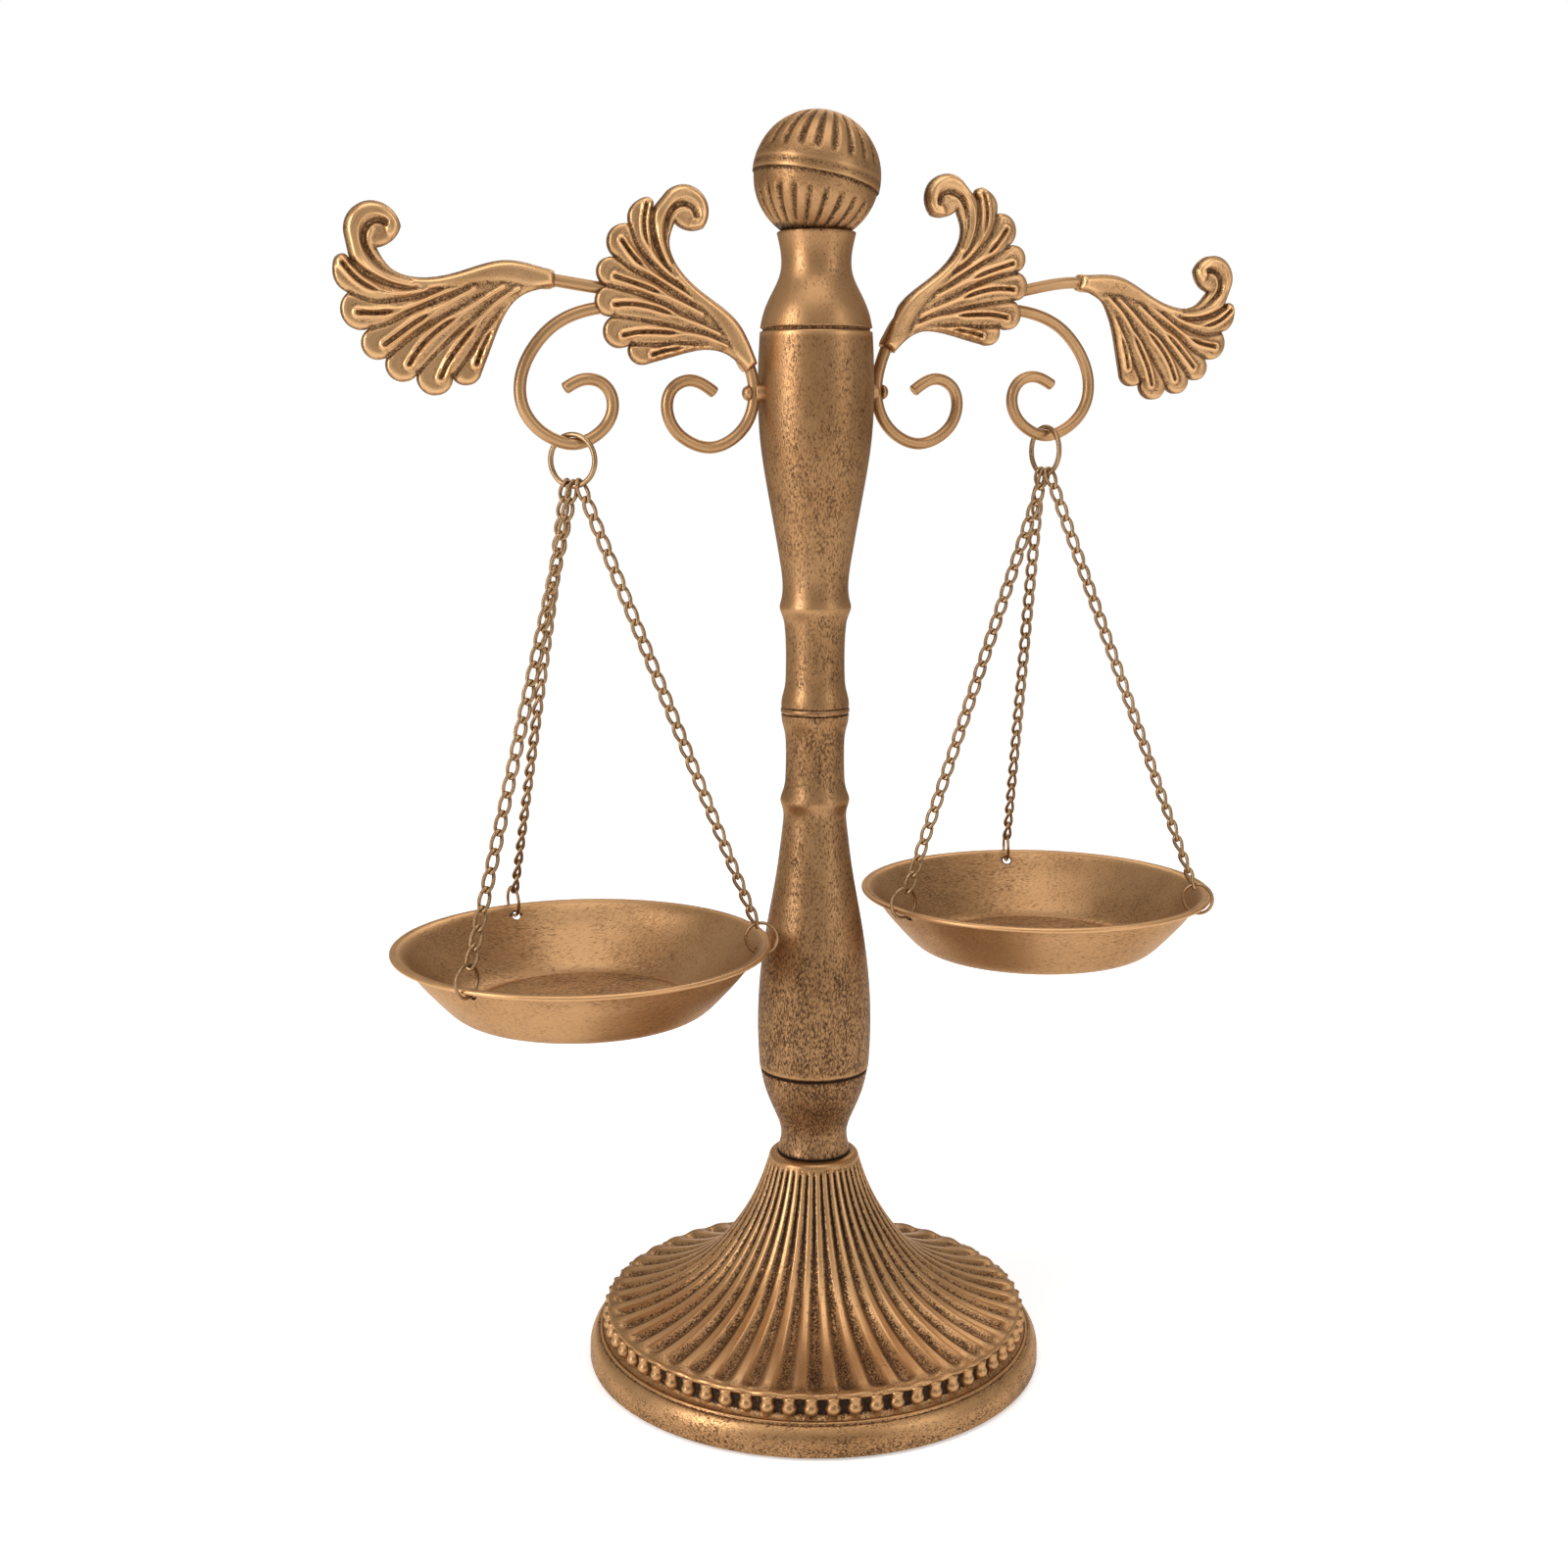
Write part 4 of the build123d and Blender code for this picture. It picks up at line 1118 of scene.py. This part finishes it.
def make_chain(side, index):
    angle = PAN_HOLE_ANGLES[side][index]
    start = top_of_chain(side, chain_places(side)[index])
    ring = pan_ring_centre(side, angle)
    down = unit(ring - start)
    end = ring - down * PAN_RING_R
    count = LINK_COUNT
    above = HOOK_RING_WIRE_R + TOP_LINK_GAP
    pitch = (np.linalg.norm(end - start) + above + PAN_RING_WIRE_R) / count
    first = start + down * (pitch / 2 - above)
    # Each end of a link lies square to its neighbour's end. The top end lies across the hook ring and
    # the last one across the pan ring, so the links share what is left of the turn between them.
    lead = direction(HOOK_RING_YAW[side])
    across_top = unit(lead - down * (lead @ down))
    out = direction(angle)
    across_foot = unit(out - down * (out @ down))
    turn = degrees(atan2(np.cross(across_top, across_foot) @ down, across_top @ across_foot))
    spare = (90.0 * (count - 1) - turn) - 90.0 * count
    twist = 90.0 + (spare - 180.0 * floor(spare / 180.0 + 0.5)) / count
    loop = link_loop(44, pitch + LINK_SLACK, radians(twist))
    ring_points, quads = tube(loop, LINK_WIRE_R, 10, closed=True)
    tip = np.abs(ring_points[:, 2]) / (pitch / 2)
    wear = 0.50 + 0.3 * smooth_step(tip, 0.6, 1.0)
    side_way = unit(np.cross(across_top, down))
    points, faces = [], []
    for k in range(count):
        # The link's own X lies square to the ring's plane at its top end.
        face = radians((90.0 - twist) * k + twist / 2)
        x_way = side_way * cos(face) + np.cross(down, side_way) * sin(face)
        y_way = np.cross(-down, x_way)
        centre = first + down * (pitch * k)
        points.append(centre + ring_points[:, :1] * x_way + ring_points[:, 1:2] * y_way
                      + ring_points[:, 2:] * -down)
        faces.append(quads[0] + k * len(ring_points))
    name = side + "_links_" + str(index + 1)
    piece = make_piece(name, np.concatenate(points), faces, np.tile(wear, count), chain_gold)
    finish_piece(piece, side + "_pan_set", "chain_gold", side + "_chain_" + str(index + 1))


def pan_profile():
    inside_z = PAN_SHEET - PAN_DEPTH
    outside = joined(
        line((0.05, -PAN_DEPTH), (35.2, -PAN_DEPTH), 16),
        spline([(35.2, -PAN_DEPTH), (37.2, -22.6), (40.6, -23.4), (44.2, -22.2), (48.4, -18.6),
                (53.0, -13.6), (57.4, -8.4), (60.4, -4.2), (62.6, -1.4)], 60),
        arc((62.6, -1.4), (63.4, -0.95), (64.2, -1.0), 4),
        arc((64.2, -1.0), (64.6, -1.5), (65.2, -1.7), 4),
        arc((65.2, -1.7), (66.0, -0.95), (65.3, -0.1), 9),
    )
    inside = joined(
        arc((65.3, -0.1), (64.9, -0.05), (64.4, -0.15), 3),
        line((64.4, -0.15), (63.4, -0.2), 3),
        spline([(63.4, -0.2), (62.6, -0.6), (59.7, -3.65), (56.7, -7.85), (52.3, -13.0), (47.8, -17.95),
                (43.7, -21.4), (40.55, -22.5), (37.4, -21.7), (35.7, inside_z)], 64),
        line((35.7, inside_z), (34.9, inside_z - 0.05), 3),
        line((34.9, inside_z - 0.05), (0.05, inside_z - 0.05), 20),
    )
    return joined(outside, inside), len(outside)


def make_pan(side):
    profile, outer_rows = pan_profile()
    columns = 240
    points, faces, _ = lathe(profile, columns)
    r, z = profile[:, 0], profile[:, 1]
    inner = np.arange(len(profile)) >= outer_rows
    relief = np.where(inner, 0.54, 0.56)
    relief = np.where(inner & (r < PAN_FLOOR_R), 0.34, relief)
    # The rolled lip and the slope inside it are lighter: rubbed gold with a painted highlight; a thin dark
    # line runs inside the roll.
    relief += 0.40 * bell(r - 65.5, 0.7) - 0.25 * bell(r - 64.3, 0.3) * (z > -0.8)
    relief += 0.25 * bell(r - 63.0, 0.8) * inner
    values = np.repeat(np.clip(relief, 0, 1), columns)
    points = points + hanging_point(side, pan_lip(side))
    pan = make_piece(side + "_bowl", points, [faces], values, pan_gold)
    hole_r, hole_z = PAN_HOLE_PLACE
    cutters = []
    for hole in PAN_HOLE_ANGLES[side]:
        centre = hanging_point(side, pan_lip(side) + hole_z) + direction(hole) * hole_r
        slope = unit(direction(hole) - UP)
        path = np.array([centre - slope * 3.0, centre, centre + slope * 3.0])
        cutter = make_piece("cutter", *tube(path, PAN_HOLE_R, 28, chamfer=0.1), 0.1, pan_gold)
        cutters.append(cutter)
        cut = pan.modifiers.new("hole", "BOOLEAN")
        cut.operation = "DIFFERENCE"
        cut.solver = "EXACT"
        cut.object = cutter
    bpy.context.view_layer.update()
    whole = pan.evaluated_get(bpy.context.evaluated_depsgraph_get())
    pierced = bpy.data.meshes.new_from_object(whole)
    pan.modifiers.clear()
    pan.data = pierced
    for cutter in cutters:
        bpy.data.objects.remove(cutter)
    finish_piece(pan, side + "_pan_set", "pan_gold", side + "_pan")


for side in SIDES:
    make_hook_ring(side)
    make_pan_rings(side)
    for index in range(3):
        make_chain(side, index)
    make_pan(side)


# ---- floor, world, lights ----
def floor_material():
    material = bpy.data.materials.new("pale_floor")
    material.use_nodes = True
    set_inputs(material.node_tree.nodes["Principled BSDF"], {
        "Base Color": (0.93, 0.93, 0.93, 1), "Roughness": 0.9, "Specular IOR Level": 0.1,
        "Emission Color": (1.0, 1.0, 1.0, 1), "Emission Strength": 0.42})
    return material


FLOOR_R = 1.5          # metres
FLOOR_SIDES = 96
floor_mesh = bpy.data.meshes.new("floor")
floor_mesh.from_pydata([(FLOOR_R * cos(a), FLOOR_R * sin(a), 0) for a in turns(FLOOR_SIDES)], [],
                       [tuple(range(FLOOR_SIDES))])
floor_mesh.materials.append(floor_material())
floor_plane = bpy.data.objects.new("floor", floor_mesh)
bpy.context.scene.collection.objects.link(floor_plane)

world = bpy.data.worlds.new("studio")
bpy.context.scene.world = world
world.use_nodes = True
tree = world.node_tree
lighting = tree.nodes["Background"]
seen = node(tree, "ShaderNodeBackground")
for backdrop, strength in ((lighting, 0.45), (seen, 1.0)):
    set_inputs(backdrop, {"Color": (1.0, 1.0, 1.0, 1), "Strength": strength})
rays = node(tree, "ShaderNodeLightPath")
blend = node(tree, "ShaderNodeMixShader")
tree.links.new(rays.outputs["Is Camera Ray"], blend.inputs[0])
tree.links.new(lighting.outputs[0], blend.inputs[1])
tree.links.new(seen.outputs[0], blend.inputs[2])
tree.links.new(blend.outputs[0], tree.nodes["World Output"].inputs["Surface"])


LIGHT_AIM = Vector((0, 0, 0.22))          # metres, about the middle of the object


def soft_light(name, azimuth, elevation, distance, size, power):
    """A rectangular soft box that faces LIGHT_AIM. Azimuth 0 is the camera's side."""
    data = bpy.data.lights.new(name, "AREA")
    data.shape = "RECTANGLE"
    data.size, data.size_y = size
    data.energy = power
    lamp = bpy.data.objects.new(name, data)
    a = radians(azimuth) - CAMERA_YAW
    e = radians(elevation)
    away = Vector((sin(a) * cos(e), -cos(a) * cos(e), sin(e)))
    lamp.location = LIGHT_AIM + away * distance
    lamp.rotation_mode = "QUATERNION"
    lamp.rotation_quaternion = (-away).to_track_quat("-Z", "Y")
    bpy.context.scene.collection.objects.link(lamp)


soft_light("left_box", -56, 18, 1.5, (0.45, 1.3), 12.5)
soft_light("right_box", 54, 18, 1.5, (0.45, 1.3), 3.6)
soft_light("top_box", 0, 78, 1.6, (1.4, 1.4), 10.5)
soft_light("back_box", 170, 40, 1.8, (1.2, 0.8), 6)
